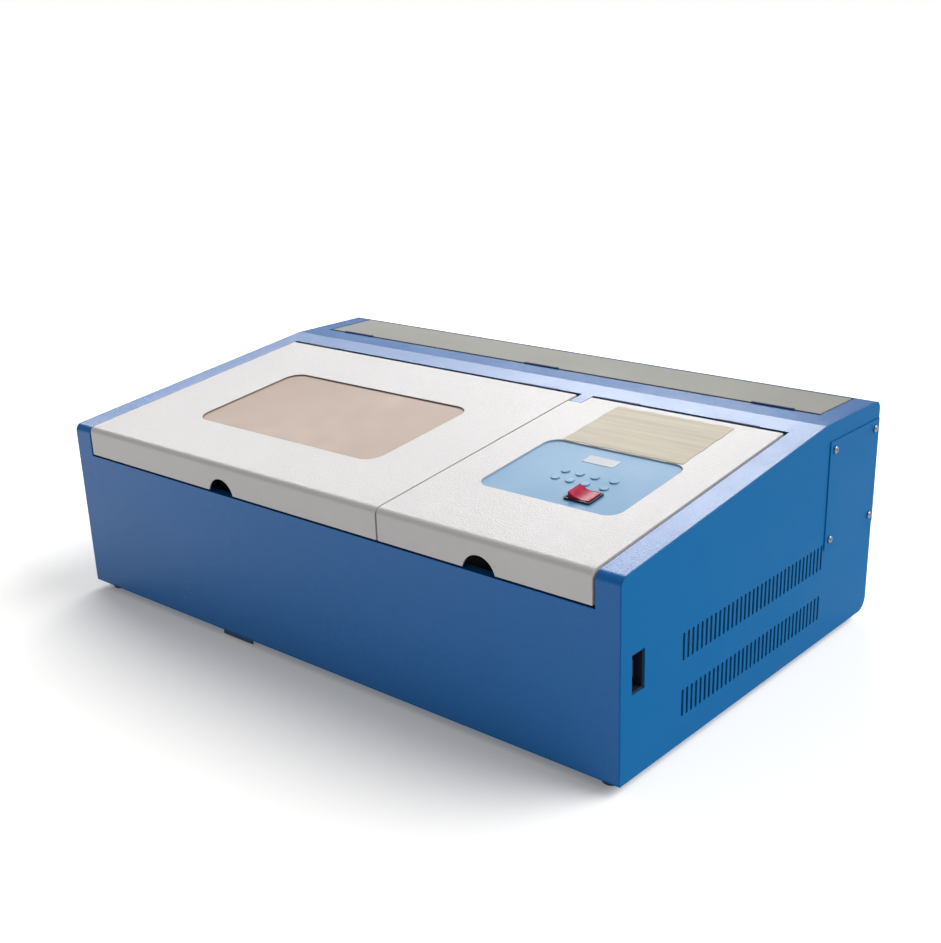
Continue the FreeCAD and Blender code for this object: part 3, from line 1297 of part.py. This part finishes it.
def make_work_bed():
    """The bed plate, its four posts, the fixed jaw and front block, and the jaw's guides."""
    y = (BED_FRONT, BED_FRONT + BED_DEPTH)
    under = BED_Z - BED_SHEET
    plate = box(bed_x(0), y, (under, BED_Z))
    posts = []
    for x in bed_x(BED_POST_INSET):
        for post_y in (y[0] + BED_POST_INSET, y[1] - BED_POST_INSET):
            posts.append(rod("z", (x, post_y, TRAY_Z), BED_POST, under - TRAY_Z))
    jaw_z = (BED_Z, BED_Z + JAW_HEIGHT)
    edge = JAW_REAR_INSET
    fixed = box(bed_x(JAW_INSET), (y[1] - edge - JAW_THICKNESS, y[1] - edge), jaw_z)
    front = box(bed_x(JAW_INSET), (y[0] + edge, y[0] + edge + JAW_THICKNESS - 2), jaw_z)
    holes = [guide_rod(x, y[0], GUIDE_RADIUS + PIN_GRIP, BED_DEPTH) for x in guide_places()]
    guides = [guide_rod(x, y[0] + edge, GUIDE_RADIUS, BED_DEPTH - 2 * edge) for x in guide_places()]
    return [plate] + posts + [cut(fixed, holes), cut(front, holes)] + guides


def make_clamp_jaw():
    """The bar that slides on the guides to hold the work."""
    y = BED_FRONT + BED_DEPTH - JAW_REAR_INSET - JAW_THICKNESS - JAW_OPENING
    bar = box(bed_x(JAW_INSET + 2), (y - JAW_THICKNESS, y), (BED_Z + BODY_GAP, BED_Z + JAW_HEIGHT))
    holes = [guide_rod(x, y - 20, GUIDE_RADIUS + RUNNING_FIT, 40) for x in guide_places()]
    return cut(bar, holes)


# ---- write every piece -----------------------------------------------------------------------
def write_case():
    """The case, its feet and its inside walls."""
    skin = case_skin()
    save("upper_shell", make_upper_shell(skin))
    save("base_and_rear_panel", make_base_and_rear(skin))
    save("left_side_panel", side_panel((-SIDE_X, -INNER_X)))
    save("right_side_panel", make_right_side())
    save("side_access_panel", make_access_panel())
    save("access_panel_screws", *[make_panel_screw(y, z) for y, z in access_screws()])
    foot_x = SIDE_X - FOOT_INSET_X
    foot_y = (FOOT_INSET_Y, CASE_DEPTH - FOOT_INSET_Y - REAR_BOTTOM_BEND)
    save("rubber_feet", *[make_foot(x, y) for x in (-foot_x, foot_x) for y in foot_y])
    save("front_skid", make_skid())
    save("centre_partition", make_centre_partition())
    save("rear_partition", make_rear_partition())
    save("lid_rests", *make_lid_rests())


def write_lids():
    """The three lids, their hinges and the control panel."""
    left = lid_hinges(LEFT_LID_X)
    right = lid_hinges(RIGHT_LID_X)
    rear = rear_lid_hinges()
    every = left + right + rear
    save("hinge_fixed_leaves", *[h[0] for h in every])
    save("hinge_pins", *[h[2] for h in every])
    save("left_lid_hinge_leaves", *[h[1] for h in left])
    save("right_lid_hinge_leaves", *[h[1] for h in right])
    save("rear_lid_hinge_leaves", *[h[1] for h in rear])
    save("left_lid", make_left_lid())
    save("window_pane", make_window_pane())
    save("right_lid", make_right_lid())
    save("rear_lid", make_rear_lid())
    save("control_panel_plate", make_panel_plate())
    save("display_window", make_display())
    save("rocker_housing", make_rocker_housing())
    save("rocker_paddle", make_rocker_paddle())
    for number, (x, s) in enumerate(key_places(), 1):
        save("key_%d" % number, make_key(x, s))


def write_tube_bay():
    """The tube, its saddles and mirror, the exhaust, and what is on the back wall."""
    save("laser_tube", *make_laser_tube())
    save("tube_saddles", *[make_saddle(TUBE_LEFT + x) for x in SADDLE_OFFSETS])
    save("rear_mirror_mount", *mirror_mount(BEAM_X, TUBE_Y, 45, SHELF_Z + SHEET))
    save("exhaust_duct", make_duct())
    save("exhaust_fan_frame", make_fan_frame())
    save("exhaust_fan_rotor", make_fan_rotor())
    save("exhaust_spigot", make_spigot())
    save("power_inlet", make_power_inlet())


def write_controls_bay():
    """The electronics."""
    save("data_port", make_port_module())
    save("controller_board", *make_controller_board())
    save("power_supply", make_power_supply())
    save("y_motor", make_y_motor())


def write_motion_system():
    """The rails, belts, pulleys, gantry and head."""
    save("rail_bars", *rail_bars())
    save("guide_rods", *guide_rods())
    save("y_belts", *y_belts())
    save("shaft_supports", *make_shaft_supports())
    save("y_drive_shaft", make_drive_shaft())
    save("y_idler_pulleys", *make_y_idlers())
    save("gantry_beam", make_gantry_beam())
    save("x_motor", make_x_motor())
    save("x_belt", make_x_belt())
    save("x_drive_pulley", make_x_drive_pulley())
    save("x_idler_pulley", make_x_idler())
    save("gantry_mirror_mount", *make_gantry_mirror())
    save("head_carriage", make_head_carriage())
    save("lens_tube", make_lens_tube())
    save("work_bed", *make_work_bed())
    save("clamp_jaw", make_clamp_jaw())


write_case()
write_lids()
write_tube_bay()
write_controls_bay()
write_motion_system()
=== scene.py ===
"""Looks of the desktop laser engraver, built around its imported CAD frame.

Metres, +Z up, +X to the machine's right, +Y to its rear. A place on the sloping deck is given
as x, distance up the slope from the front edge (s), and height off the deck sheet (n).
"""
import json
import math

import bmesh
import bpy
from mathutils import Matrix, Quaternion, Vector


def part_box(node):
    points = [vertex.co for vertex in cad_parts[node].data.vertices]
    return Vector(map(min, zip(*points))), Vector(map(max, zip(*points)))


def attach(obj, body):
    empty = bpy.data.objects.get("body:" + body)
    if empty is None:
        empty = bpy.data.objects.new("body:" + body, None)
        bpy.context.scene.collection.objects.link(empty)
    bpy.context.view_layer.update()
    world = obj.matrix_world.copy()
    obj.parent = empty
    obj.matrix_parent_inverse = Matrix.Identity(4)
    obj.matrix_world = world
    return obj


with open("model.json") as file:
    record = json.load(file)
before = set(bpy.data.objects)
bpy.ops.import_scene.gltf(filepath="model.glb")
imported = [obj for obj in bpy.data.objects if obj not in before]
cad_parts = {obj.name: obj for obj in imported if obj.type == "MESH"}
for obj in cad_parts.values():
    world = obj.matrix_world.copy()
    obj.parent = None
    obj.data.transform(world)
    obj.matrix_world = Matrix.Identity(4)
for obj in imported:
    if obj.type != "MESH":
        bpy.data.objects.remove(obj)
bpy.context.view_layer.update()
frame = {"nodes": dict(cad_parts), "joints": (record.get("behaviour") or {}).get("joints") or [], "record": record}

NODES = frame["nodes"]

# ---- places, some read from the frame and the rest given -------------------------------------
CASE_LOW, CASE_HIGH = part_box("left_side_panel")
FLOOR_SHEET = CASE_LOW.z
HINGE = Vector(next(j["pos_m"] for j in frame["joints"] if j["name"] == "left_lid_hinge"))
HINGE_S = 0.3345
DECK_RISE, DECK_RUN = 0.0455, 0.365
SLOPE = math.atan2(DECK_RISE, DECK_RUN)
LID_TOP = 0.001
LABEL_X, LABEL_S = (0.1715, 0.3195), (0.2206, 0.3205)
LABEL_THICKNESS = 0.0004
WINDOW_S = (0.082, 0.245)
WINDOW_CORNER, WINDOW_LAP = 0.020, 0.010
SEAL_HEIGHT, SEAL_WIDTH = 0.0003, 0.0009
SHARP_ANGLE = math.radians(35)


def on_deck(x, s, n):
    """A place on the sloping deck, in the frame's x, y, z."""
    up = s - HINGE_S
    y = HINGE.y + up * math.cos(SLOPE) - n * math.sin(SLOPE)
    return Vector((x, y, HINGE.z + up * math.sin(SLOPE) + n * math.cos(SLOPE)))


# ---- material kit ----------------------------------------------------------------------------
class Surface:
    """One procedural material on a Principled shader, with coordinates in metres."""

    def __init__(self, name, color, roughness, metallic=0.0, **sockets):
        self.material = bpy.data.materials.new(name)
        self.material.use_nodes = True
        self.tree = self.material.node_tree
        self.shader = self.tree.nodes["Principled BSDF"]
        self.where = self.tree.nodes.new("ShaderNodeTexCoord").outputs["Object"]
        self.set("Base Color", (*color, 1.0))
        self.set("Roughness", roughness)
        self.set("Metallic", metallic)
        for socket, value in sockets.items():
            self.set(socket.replace("_", " "), value)

    def set(self, socket, value):
        """Put a constant on one of the shader's own sockets."""
        self.shader.inputs[socket].default_value = value

    def link(self, output, socket):
        """Join a node's output to a shader socket."""
        self.tree.links.new(output, self.shader.inputs[socket])

    def stretch(self, scale):
        """Object coordinates scaled along x, y and z."""
        mapping = self.tree.nodes.new("ShaderNodeMapping")
        mapping.inputs["Scale"].default_value = scale
        self.tree.links.new(self.where, mapping.inputs["Vector"])
        return mapping.outputs["Vector"]

    def noise(self, scale, detail=3.0, where=None):
        """A noise value between 0 and 1."""
        texture = self.tree.nodes.new("ShaderNodeTexNoise")
        texture.inputs["Scale"].default_value = scale
        texture.inputs["Detail"].default_value = detail
        self.tree.links.new(where or self.where, texture.inputs["Vector"])
        return texture.outputs[0]

    def cells(self, scale):
        """The distance to the nearest of many scattered points."""
        texture = self.tree.nodes.new("ShaderNodeTexVoronoi")
        texture.inputs["Scale"].default_value = scale
        self.tree.links.new(self.where, texture.inputs["Vector"])
        return texture.outputs["Distance"]

    def spread(self, value, low, high, start=0.3, stop=0.7):
        """Map a value from start..stop to low..high."""
        remap = self.tree.nodes.new("ShaderNodeMapRange")
        limits = {"From Min": start, "From Max": stop, "To Min": low, "To Max": high}
        for socket, number in limits.items():
            remap.inputs[socket].default_value = number
        self.tree.links.new(value, remap.inputs["Value"])
        return remap.outputs["Result"]

    def blend(self, value, first, second):
        """Mix two colours, or node colours, by a value."""
        mix = self.tree.nodes.new("ShaderNodeMix")
        mix.data_type = "RGBA"
        self.tree.links.new(value, mix.inputs[0])
        for socket, color in ((mix.inputs[6], first), (mix.inputs[7], second)):
            if isinstance(color, bpy.types.NodeSocket):
                self.tree.links.new(color, socket)
            else:
                socket.default_value = (*color, 1.0)
        return mix.outputs[2]

    def bump(self, heights):
        """Stack bump layers given as (height, strength, distance in metres)."""
        normal = None
        for height, strength, distance in heights:
            layer = self.tree.nodes.new("ShaderNodeBump")
            layer.inputs["Strength"].default_value = strength
            layer.inputs["Distance"].default_value = distance
            self.tree.links.new(height, layer.inputs["Height"])
            if normal is not None:
                self.tree.links.new(normal, layer.inputs["Normal"])
            normal = layer.outputs["Normal"]
        self.link(normal, "Normal")
        return self.material


def tinted(color, factor):
    """A colour made lighter or darker."""
    return tuple(min(1.0, c * factor) for c in color)


def powder_coat(name, color, roughness, peel=0.25, grain=900.0, speckle=0.06, **sockets):
    """Baked paint with an orange-peel surface, fine speckle and slow changes of tone."""
    surface = Surface(name, color, roughness, **sockets)
    broad = surface.spread(surface.noise(3.0, 2.0), 0.0, 1.0)
    fine = surface.spread(surface.noise(grain, 2.0), 0.0, 1.0)
    tone = surface.blend(broad, tinted(color, 0.95), tinted(color, 1.05))
    flecks = surface.blend(fine, tinted(color, 1 - speckle), tinted(color, 1 + speckle))
    half = surface.spread(surface.noise(20.0, 4.0), 0.35, 0.65)
    surface.link(surface.blend(half, tone, flecks), "Base Color")
    handled = surface.noise(11.0, 5.0)
    surface.link(surface.spread(handled, roughness - 0.04, roughness + 0.07), "Roughness")
    peel_height = surface.noise(grain * 0.6, 2.0)
    fine_height = surface.noise(grain * 2, 1.0)
    return surface.bump([(peel_height, peel, 0.0004), (fine_height, peel * 0.5, 0.0002)])


def hammered_coat(name, color, roughness):
    """Silver-white textured paint: small dimples with bright flecks."""
    surface = Surface(name, color, roughness, metallic=0.05, Specular_IOR_Level=0.2)
    dimples = surface.cells(520.0)
    sparkle = surface.spread(surface.cells(1400.0), 1.0, 0.0, 0.0, 0.35)
    flecks = surface.blend(sparkle, tinted(color, 0.93), tinted(color, 1.16))
    cloud = surface.spread(surface.noise(6.0, 4.0), 0.25, 0.75)
    surface.link(surface.blend(cloud, flecks, tinted(color, 1.03)), "Base Color")
    dulling = surface.noise(260.0, 3.0)
    surface.link(surface.spread(dulling, roughness - 0.06, roughness + 0.1), "Roughness")
    return surface.bump([(dimples, 0.35, 0.0005), (surface.noise(1500.0, 2.0), 0.2, 0.0002)])


def brushed(name, color, roughness, grain=(6.0, 900.0, 900.0)):
    """Drawn or brushed metal with fine lines and a little dulling."""
    surface = Surface(name, color, roughness, metallic=1.0)
    lines = surface.noise(1.0, 3.0, surface.stretch(grain))
    stain = surface.spread(surface.noise(18.0, 4.0), 0.0, 0.6)
    surface.link(surface.blend(stain, color, tinted(color, 0.8)), "Base Color")
    surface.link(surface.spread(lines, roughness - 0.08, roughness + 0.12), "Roughness")
    return surface.bump([(lines, 0.15, 0.0002)])


def moulded(name, color, roughness, grain=1200.0, peel=0.15, **sockets):
    """Moulded plastic or rubber with a fine spark-eroded texture."""
    surface = Surface(name, color, roughness, **sockets)
    fine = surface.noise(grain, 2.0)
    dusty = surface.spread(surface.noise(40.0, 5.0), 0.0, 1.0)
    surface.link(surface.blend(dusty, color, tinted(color, 1.3)), "Base Color")
    surface.link(surface.spread(fine, roughness - 0.05, roughness + 0.08), "Roughness")
    return surface.bump([(fine, peel, 0.0003)])


def window_tint():
    """Tan tinted acrylic, faintly smudged, with a little see-through."""
    color = (0.36, 0.265, 0.215)
    surface = Surface("tinted_window", color, 0.2, Transmission_Weight=0.1, IOR=1.49,
                      Specular_IOR_Level=0.03)
    clouds = surface.noise(1.0, 4.0, surface.stretch((14.0, 9.0, 9.0)))
    smudge = surface.spread(clouds, 0.0, 0.45, 0.42, 0.7)
    surface.link(surface.blend(smudge, color, tinted(color, 0.9)), "Base Color")
    surface.link(surface.spread(surface.noise(30.0, 5.0), 0.15, 0.24), "Roughness")
    return surface.bump([(surface.noise(400.0, 2.0), 0.05, 0.0003)])


def display_lens():
    """The milky window of the unlit display."""
    surface = Surface("milky_display", (0.385, 0.43, 0.48), 0.25, IOR=1.49, Specular_IOR_Level=0.05)
    haze = surface.spread(surface.noise(70.0, 3.0), 0.0, 1.0)
    surface.link(surface.blend(haze, (0.37, 0.415, 0.46), (0.40, 0.445, 0.49)), "Base Color")
    surface.link(surface.spread(surface.noise(60.0, 2.0), 0.24, 0.32), "Roughness")
    return surface.bump([(surface.noise(200.0, 2.0), 0.03, 0.0002)])


def red_switch():
    """Translucent red switch plastic."""
    color = (0.38, 0.012, 0.045)
    surface = Surface("red_rocker", color, 0.3, IOR=1.49, Transmission_Weight=0.12,
                      Specular_IOR_Level=0.15)
    depth = surface.spread(surface.noise(120.0, 3.0), 0.0, 1.0)
    surface.link(surface.blend(depth, (0.28, 0.008, 0.032), (0.48, 0.018, 0.065)), "Base Color")
    surface.link(surface.spread(surface.noise(400.0, 3.0), 0.26, 0.4), "Roughness")
    return surface.bump([(surface.noise(700.0, 2.0), 0.08, 0.0002)])


def paper_label():
    """A blank buff label with faint streaks across it."""
    color = (0.325, 0.28, 0.20)
    surface = Surface("buff_label", color, 0.5)
    streaks = surface.noise(1.0, 3.0, surface.stretch((9.0, 190.0, 190.0)))
    fibres = surface.noise(1100.0, 3.0)
    faded = surface.blend(surface.spread(streaks, 0.0, 1.0), tinted(color, 0.84), tinted(color, 1.12))
    pale = surface.spread(fibres, 0.1, 0.4)
    surface.link(surface.blend(pale, faded, tinted(color, 1.2)), "Base Color")
    surface.link(surface.spread(fibres, 0.42, 0.62), "Roughness")
    return surface.bump([(fibres, 0.12, 0.0002), (streaks, 0.25, 0.0006)])


def tube_glass():
    """Clear blown glass with slow ripples."""
    surface = Surface("tube_glass", (0.93, 0.97, 0.98), 0.03, Transmission_Weight=0.95, IOR=1.47)
    ripple = surface.noise(26.0, 2.0)
    surface.link(surface.spread(surface.noise(60.0, 4.0), 0.01, 0.09), "Roughness")
    return surface.bump([(ripple, 0.08, 0.0006)])


def circuit_board():
    """Green solder mask with a fine pattern of tracks under it."""
    surface = Surface("circuit_board", (0.02, 0.16, 0.07), 0.35, Coat_Weight=0.3)
    tracks = surface.spread(surface.cells(320.0), 0.0, 1.0, 0.18, 0.24)
    surface.link(surface.blend(tracks, (0.05, 0.26, 0.11), (0.015, 0.12, 0.05)), "Base Color")
    surface.link(surface.spread(tracks, 0.28, 0.42, 0.0, 1.0), "Roughness")
    return surface.bump([(tracks, 0.3, 0.0002)])


def make_materials():
    """Every material, by name: a slot in the record, or a variant of one for REPAINTS_AND_PAINTED_SHADE or a seal;
    the blue copy for the flat panels is painted shade.
    """
    return {
        "blue_case": powder_coat("blue_case", (0.003, 0.098, 0.315), 0.21, peel=0.55, speckle=0.14,
                                 Specular_IOR_Level=0.25),
        # Painted shade: the next material is a copy of the case's one blue paint, toned for how light falls on the
        # flat side, base and rear panels.
        "blue_case_shaded_copy": powder_coat("blue_case_shaded_copy", (0.003, 0.098, 0.265), 0.4, speckle=0.1,
                                 Specular_IOR_Level=0.025),
        "navy_steel": powder_coat("navy_steel", (0.012, 0.03, 0.10), 0.4),
        "zinc_steel": brushed("zinc_steel", (0.56, 0.58, 0.60), 0.38),
        "pale_lid": hammered_coat("pale_lid", (0.45, 0.442, 0.448), 0.36),
        # Painted shade: the rear lid has the same grey-white paint as the front lids; this darker, duller material
        # stands for the lesser light and sheen on the flat rear top.
        "beige_lid": powder_coat("beige_lid", (0.24, 0.24, 0.225), 0.52, speckle=0.08,
                                 Specular_IOR_Level=0.08),
        "tinted_window": window_tint(),
        "pale_blue_panel": powder_coat("pale_blue_panel", (0.115, 0.257, 0.42), 0.4, speckle=0.05,
                                       Specular_IOR_Level=0.15),
        "milky_display": display_lens(),
        "key_plastic": moulded("key_plastic", (0.15, 0.285, 0.42), 0.42, Specular_IOR_Level=0.12),
        "red_rocker": red_switch(),
        "dark_plastic": moulded("dark_plastic", (0.010, 0.012, 0.026), 0.45, Specular_IOR_Level=0.2),
        "black_rubber": moulded("black_rubber", (0.016, 0.016, 0.017), 0.7, 700.0, 0.3),
        # Painted shade in part: this dark brown seal also makes the shaded line along the window opening's edge.
        "window_seal_shade_line": moulded("window_seal_shade_line", (0.085, 0.07, 0.06), 0.6, 700.0, 0.3),
        "bright_steel": brushed("bright_steel", (0.66, 0.67, 0.68), 0.26),
        "screw_steel": brushed("screw_steel", (0.24, 0.24, 0.27), 0.32),
        "plain_aluminium": brushed("plain_aluminium", (0.70, 0.71, 0.73), 0.3),
        "tube_glass": tube_glass(),
        "circuit_board": circuit_board(),
        "buff_label": paper_label(),
    }


# Painted shade: the FLAT_SIDES nodes take the shaded copy of the case blue.
FLAT_SIDES = ("left_side_panel", "right_side_panel", "side_access_panel", "base_and_rear_panel")
REPAINTS_AND_PAINTED_SHADE = {node: "blue_case_shaded_copy" for node in FLAT_SIDES}
# Painted shade: the lid rests, zinc in the record, are painted dark navy to make the shaded gap line behind the
# lids; the screws get a plain darker steel.
REPAINTS_AND_PAINTED_SHADE |= {"lid_rests": "navy_steel", "access_panel_screws": "screw_steel"}


def dress_cad(materials):
    """Give each CAD node its slot's material, or the variant named in REPAINTS_AND_PAINTED_SHADE; the flat panels'
    blue copy and the lid rests' dark navy there are painted shade.
    """
    for part in frame["record"]["subparts"]:
        shown = NODES[part["node"]].data
        shown.materials.clear()
        shown.materials.append(materials[REPAINTS_AND_PAINTED_SHADE.get(part["node"], part["material_slot"])])


def soften(node, width, segments=3):
    """Round a CAD node's sharp edges a little with a bevel modifier."""
    modifier = NODES[node].modifiers.new("soft_edges", "BEVEL")
    modifier.width = width
    modifier.segments = segments
    modifier.limit_method = "ANGLE"
    modifier.angle_limit = SHARP_ANGLE


# ---- added pieces ----------------------------------------------------------------------------
def add_mesh(name, verts, faces, material, body):
    """A new mesh piece that rides on a body."""
    mesh = bpy.data.meshes.new(name)
    mesh.from_pydata([tuple(v) for v in verts], [], faces)
    mesh.update()
    piece = bpy.data.objects.new(name, mesh)
    bpy.context.scene.collection.objects.link(piece)
    mesh.materials.append(material)
    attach(piece, body)
    return piece


def close_shell(piece):
    """Make a piece's faces point outwards and shade its soft edges smooth."""
    work = bmesh.new()
    work.from_mesh(piece.data)
    bmesh.ops.recalc_face_normals(work, faces=work.faces)
    work.to_mesh(piece.data)
    work.free()
    for face in piece.data.polygons:
        face.use_smooth = True
    piece.data.set_sharp_from_angle(angle=SHARP_ANGLE)


def lid_label(material):
    """A blank label on the right lid, its edges a little wavy and its middle slightly lifted."""
    (left, right), (front, rear) = LABEL_X, LABEL_S
    columns, rows, clear = 60, 36, 0.00003
    verts = []
    for layer in (0, 1):
        for j in range(rows + 1):
            for i in range(columns + 1):
                u, v = i / columns, j / rows
                edge = 0.0007 * (math.sin(9 * u * math.tau / 2) + 0.6 * math.sin(23 * u))
                side = 0.0005 * math.sin(17 * v + 1.3)
                x = left + (right - left) * u + side * (2 * u - 1)
                s = front + (rear - front) * v + edge * (2 * v - 1)
                lift = 0.00035 * math.sin(math.pi * u) * abs(math.sin(5.5 * math.pi * v)) * layer
                verts.append(on_deck(x, s, LID_TOP + clear + layer * LABEL_THICKNESS + lift))
    stride = columns + 1
    top = stride * (rows + 1)
    faces = []
    for j in range(rows):
        for i in range(columns):
            a = j * stride + i
            faces.append((a, a + stride, a + stride + 1, a + 1))
            faces.append((top + a, top + a + 1, top + a + stride + 1, top + a + stride))
    rim = list(range(stride))
    rim += [j * stride + columns for j in range(1, rows + 1)]
    rim += [rows * stride + i for i in range(columns - 1, -1, -1)]
    rim += [j * stride for j in range(rows - 1, 0, -1)]
    for a, b in zip(rim, rim[1:] + rim[:1]):
        faces.append((a, b, top + b, top + a))
    piece = add_mesh("lid_label", verts, faces, material, "right_cover")
    close_shell(piece)


def rounded_loop(x, s, radius, per_corner=10):
    """Points (x, s) round a rectangle with rounded corners."""
    points = []
    corners = ((x[1] - radius, s[1] - radius, 0), (x[0] + radius, s[1] - radius, 1))
    corners += ((x[0] + radius, s[0] + radius, 2), (x[1] - radius, s[0] + radius, 3))
    for cx, cs, quarter in corners:
        for i in range(per_corner + 1):
            angle = (quarter + i / per_corner) * math.pi / 2
            points.append((cx + radius * math.cos(angle), cs + radius * math.sin(angle)))
    return points


def gasket(name, x, s, radius, n, size, material, body):
    """A thin rounded rubber seal that follows a rounded rectangle on the deck."""
    path = rounded_loop(x, s, radius)
    inner = rounded_loop((x[0] + size, x[1] - size), (s[0] + size, s[1] - size), radius - size)
    verts = []
    ring = 8
    for outer_point, inner_point in zip(path, inner):
        middle = ((outer_point[0] + inner_point[0]) / 2, (outer_point[1] + inner_point[1]) / 2)
        for k in range(ring):
            angle = math.tau * k / ring
            mix = 0.5 * math.cos(angle)
            across = [m + (o - i) * mix for m, o, i in zip(middle, outer_point, inner_point)]
            verts.append(on_deck(across[0], across[1], n + 0.5 * size * math.sin(angle)))
    faces = []
    count = len(path)
    for a in range(count):
        b = (a + 1) % count
        for k in range(ring):
            nxt = (k + 1) % ring
            faces.append((a * ring + k, a * ring + nxt, b * ring + nxt, b * ring + k))
    piece = add_mesh(name, verts, faces, material, body)
    close_shell(piece)


def window_gasket_shade_line(material):
    """The thin brownish seal between the left lid and its window; its dark ring also stands in for the shade along
    the window opening's edge (painted shade).
    """
    pane_low, pane_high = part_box("window_pane")
    x = (pane_low.x + WINDOW_LAP, pane_high.x - WINDOW_LAP)
    gasket("window_gasket_shade_line", x, WINDOW_S, WINDOW_CORNER, SEAL_HEIGHT, SEAL_WIDTH, material, "left_cover")


# ---- studio ----------------------------------------------------------------------------------
def make_floor():
    """A wide pale floor."""
    surface = Surface("studio_floor", (0.86, 0.86, 0.865), 0.8)
    clouds = surface.noise(1.2, 3.0)
    surface.link(surface.blend(clouds, (0.87, 0.87, 0.865), (0.89, 0.89, 0.885)), "Base Color")
    surface.set("Emission Color", (1.0, 1.0, 1.0, 1.0))
    surface.set("Emission Strength", 0.13)
    surface.set("Specular IOR Level", 0.0)
    mesh = bpy.data.meshes.new("studio_floor")
    reach = 60.0
    mesh.from_pydata([(-reach, -reach, 0), (reach, -reach, 0), (reach, reach, 0), (-reach, reach, 0)],
                     [], [(0, 1, 2, 3)])
    mesh.materials.append(surface.material)
    floor = bpy.data.objects.new("studio_floor", mesh)
    bpy.context.scene.collection.objects.link(floor)


def softbox(name, place, target, size, power, color=(1.0, 1.0, 1.0)):
    """A rectangular area light aimed at a point."""
    data = bpy.data.lights.new(name, "AREA")
    data.shape = "RECTANGLE"
    data.size, data.size_y = size
    data.energy = power
    data.color = color
    light = bpy.data.objects.new(name, data)
    light.location = place
    light.rotation_mode = "QUATERNION"
    light.rotation_quaternion = (target - light.location).to_track_quat("-Z", "Y")
    bpy.context.scene.collection.objects.link(light)


def make_lights():
    """A surround that the camera sees as white, soft lights behind, a front strip and a soft sun."""
    world = bpy.data.worlds.new("studio")
    world.use_nodes = True
    tree = world.node_tree
    lighting = tree.nodes["Background"]
    lighting.inputs["Color"].default_value = (1.0, 0.965, 0.91, 1.0)
    lighting.inputs["Strength"].default_value = 0.34
    white = tree.nodes.new("ShaderNodeBackground")
    white.inputs["Color"].default_value = (1.0, 1.0, 1.0, 1.0)
    seen = tree.nodes.new("ShaderNodeMixShader")
    tree.links.new(tree.nodes.new("ShaderNodeLightPath").outputs["Is Camera Ray"], seen.inputs[0])
    tree.links.new(lighting.outputs[0], seen.inputs[1])
    tree.links.new(white.outputs[0], seen.inputs[2])
    tree.links.new(seen.outputs[0], tree.nodes["World Output"].inputs["Surface"])
    bpy.context.scene.world = world
    middle = Vector((0.0, 0.0, 0.2))
    softbox("rear_softbox", Vector((-2.95, 2.3, 2.55)), middle, (4.4, 1.5), 116.0)
    softbox("rear_right_softbox", Vector((-1.7, 2.9, 2.6)), middle, (1.6, 1.5), 24.0)
    softbox("front_strip", Vector((1.0, -3.2, 0.5)), Vector((0.0, -0.26, 0.14)), (2.6, 0.6), 9.0)
    sun = bpy.data.lights.new("high_sun", "SUN")
    sun.energy = 3.4
    sun.angle = 0.9
    light = bpy.data.objects.new("high_sun", sun)
    light.rotation_mode = "QUATERNION"
    light.rotation_quaternion = Vector((-0.58, -0.46, -0.64)).to_track_quat("-Z", "Y")
    bpy.context.scene.collection.objects.link(light)
    bpy.context.scene.view_settings.view_transform = "Standard"
    bpy.context.scene.view_settings.look = "None"


def make_camera():
    """A camera at the front right corner, a little above the lids."""
    data = bpy.data.cameras.new("view")
    data.lens = 50.67
    data.sensor_width = 36.0
    data.shift_x = -0.0295
    data.shift_y = 0.0654
    camera = bpy.data.objects.new("view", data)
    case_middle = Vector((0.0, (CASE_LOW.y + CASE_HIGH.y) / 2, FLOOR_SHEET))
    camera.location = case_middle + Vector((0.9878, -1.0903, 0.6418))
    azimuth, elevation, roll = math.radians(40.51), math.radians(21.06), math.radians(-1.535)
    forward = Vector((-math.sin(azimuth) * math.cos(elevation), math.cos(azimuth) * math.cos(elevation),
                      -math.sin(elevation)))
    camera.rotation_mode = "QUATERNION"
    camera.rotation_quaternion = forward.to_track_quat("-Z", "Y") @ Quaternion((0, 0, 1), roll)
    bpy.context.scene.collection.objects.link(camera)
    bpy.context.scene.camera = camera


make_camera()
make_floor()
make_lights()
MATERIALS = make_materials()
dress_cad(MATERIALS)
for name, width in (("rocker_paddle", 0.0007), ("rocker_housing", 0.0006), ("display_window", 0.0006),
                    ("right_side_panel", 0.0006)):
    soften(name, width)
lid_label(MATERIALS["buff_label"])
window_gasket_shade_line(MATERIALS["window_seal_shade_line"])
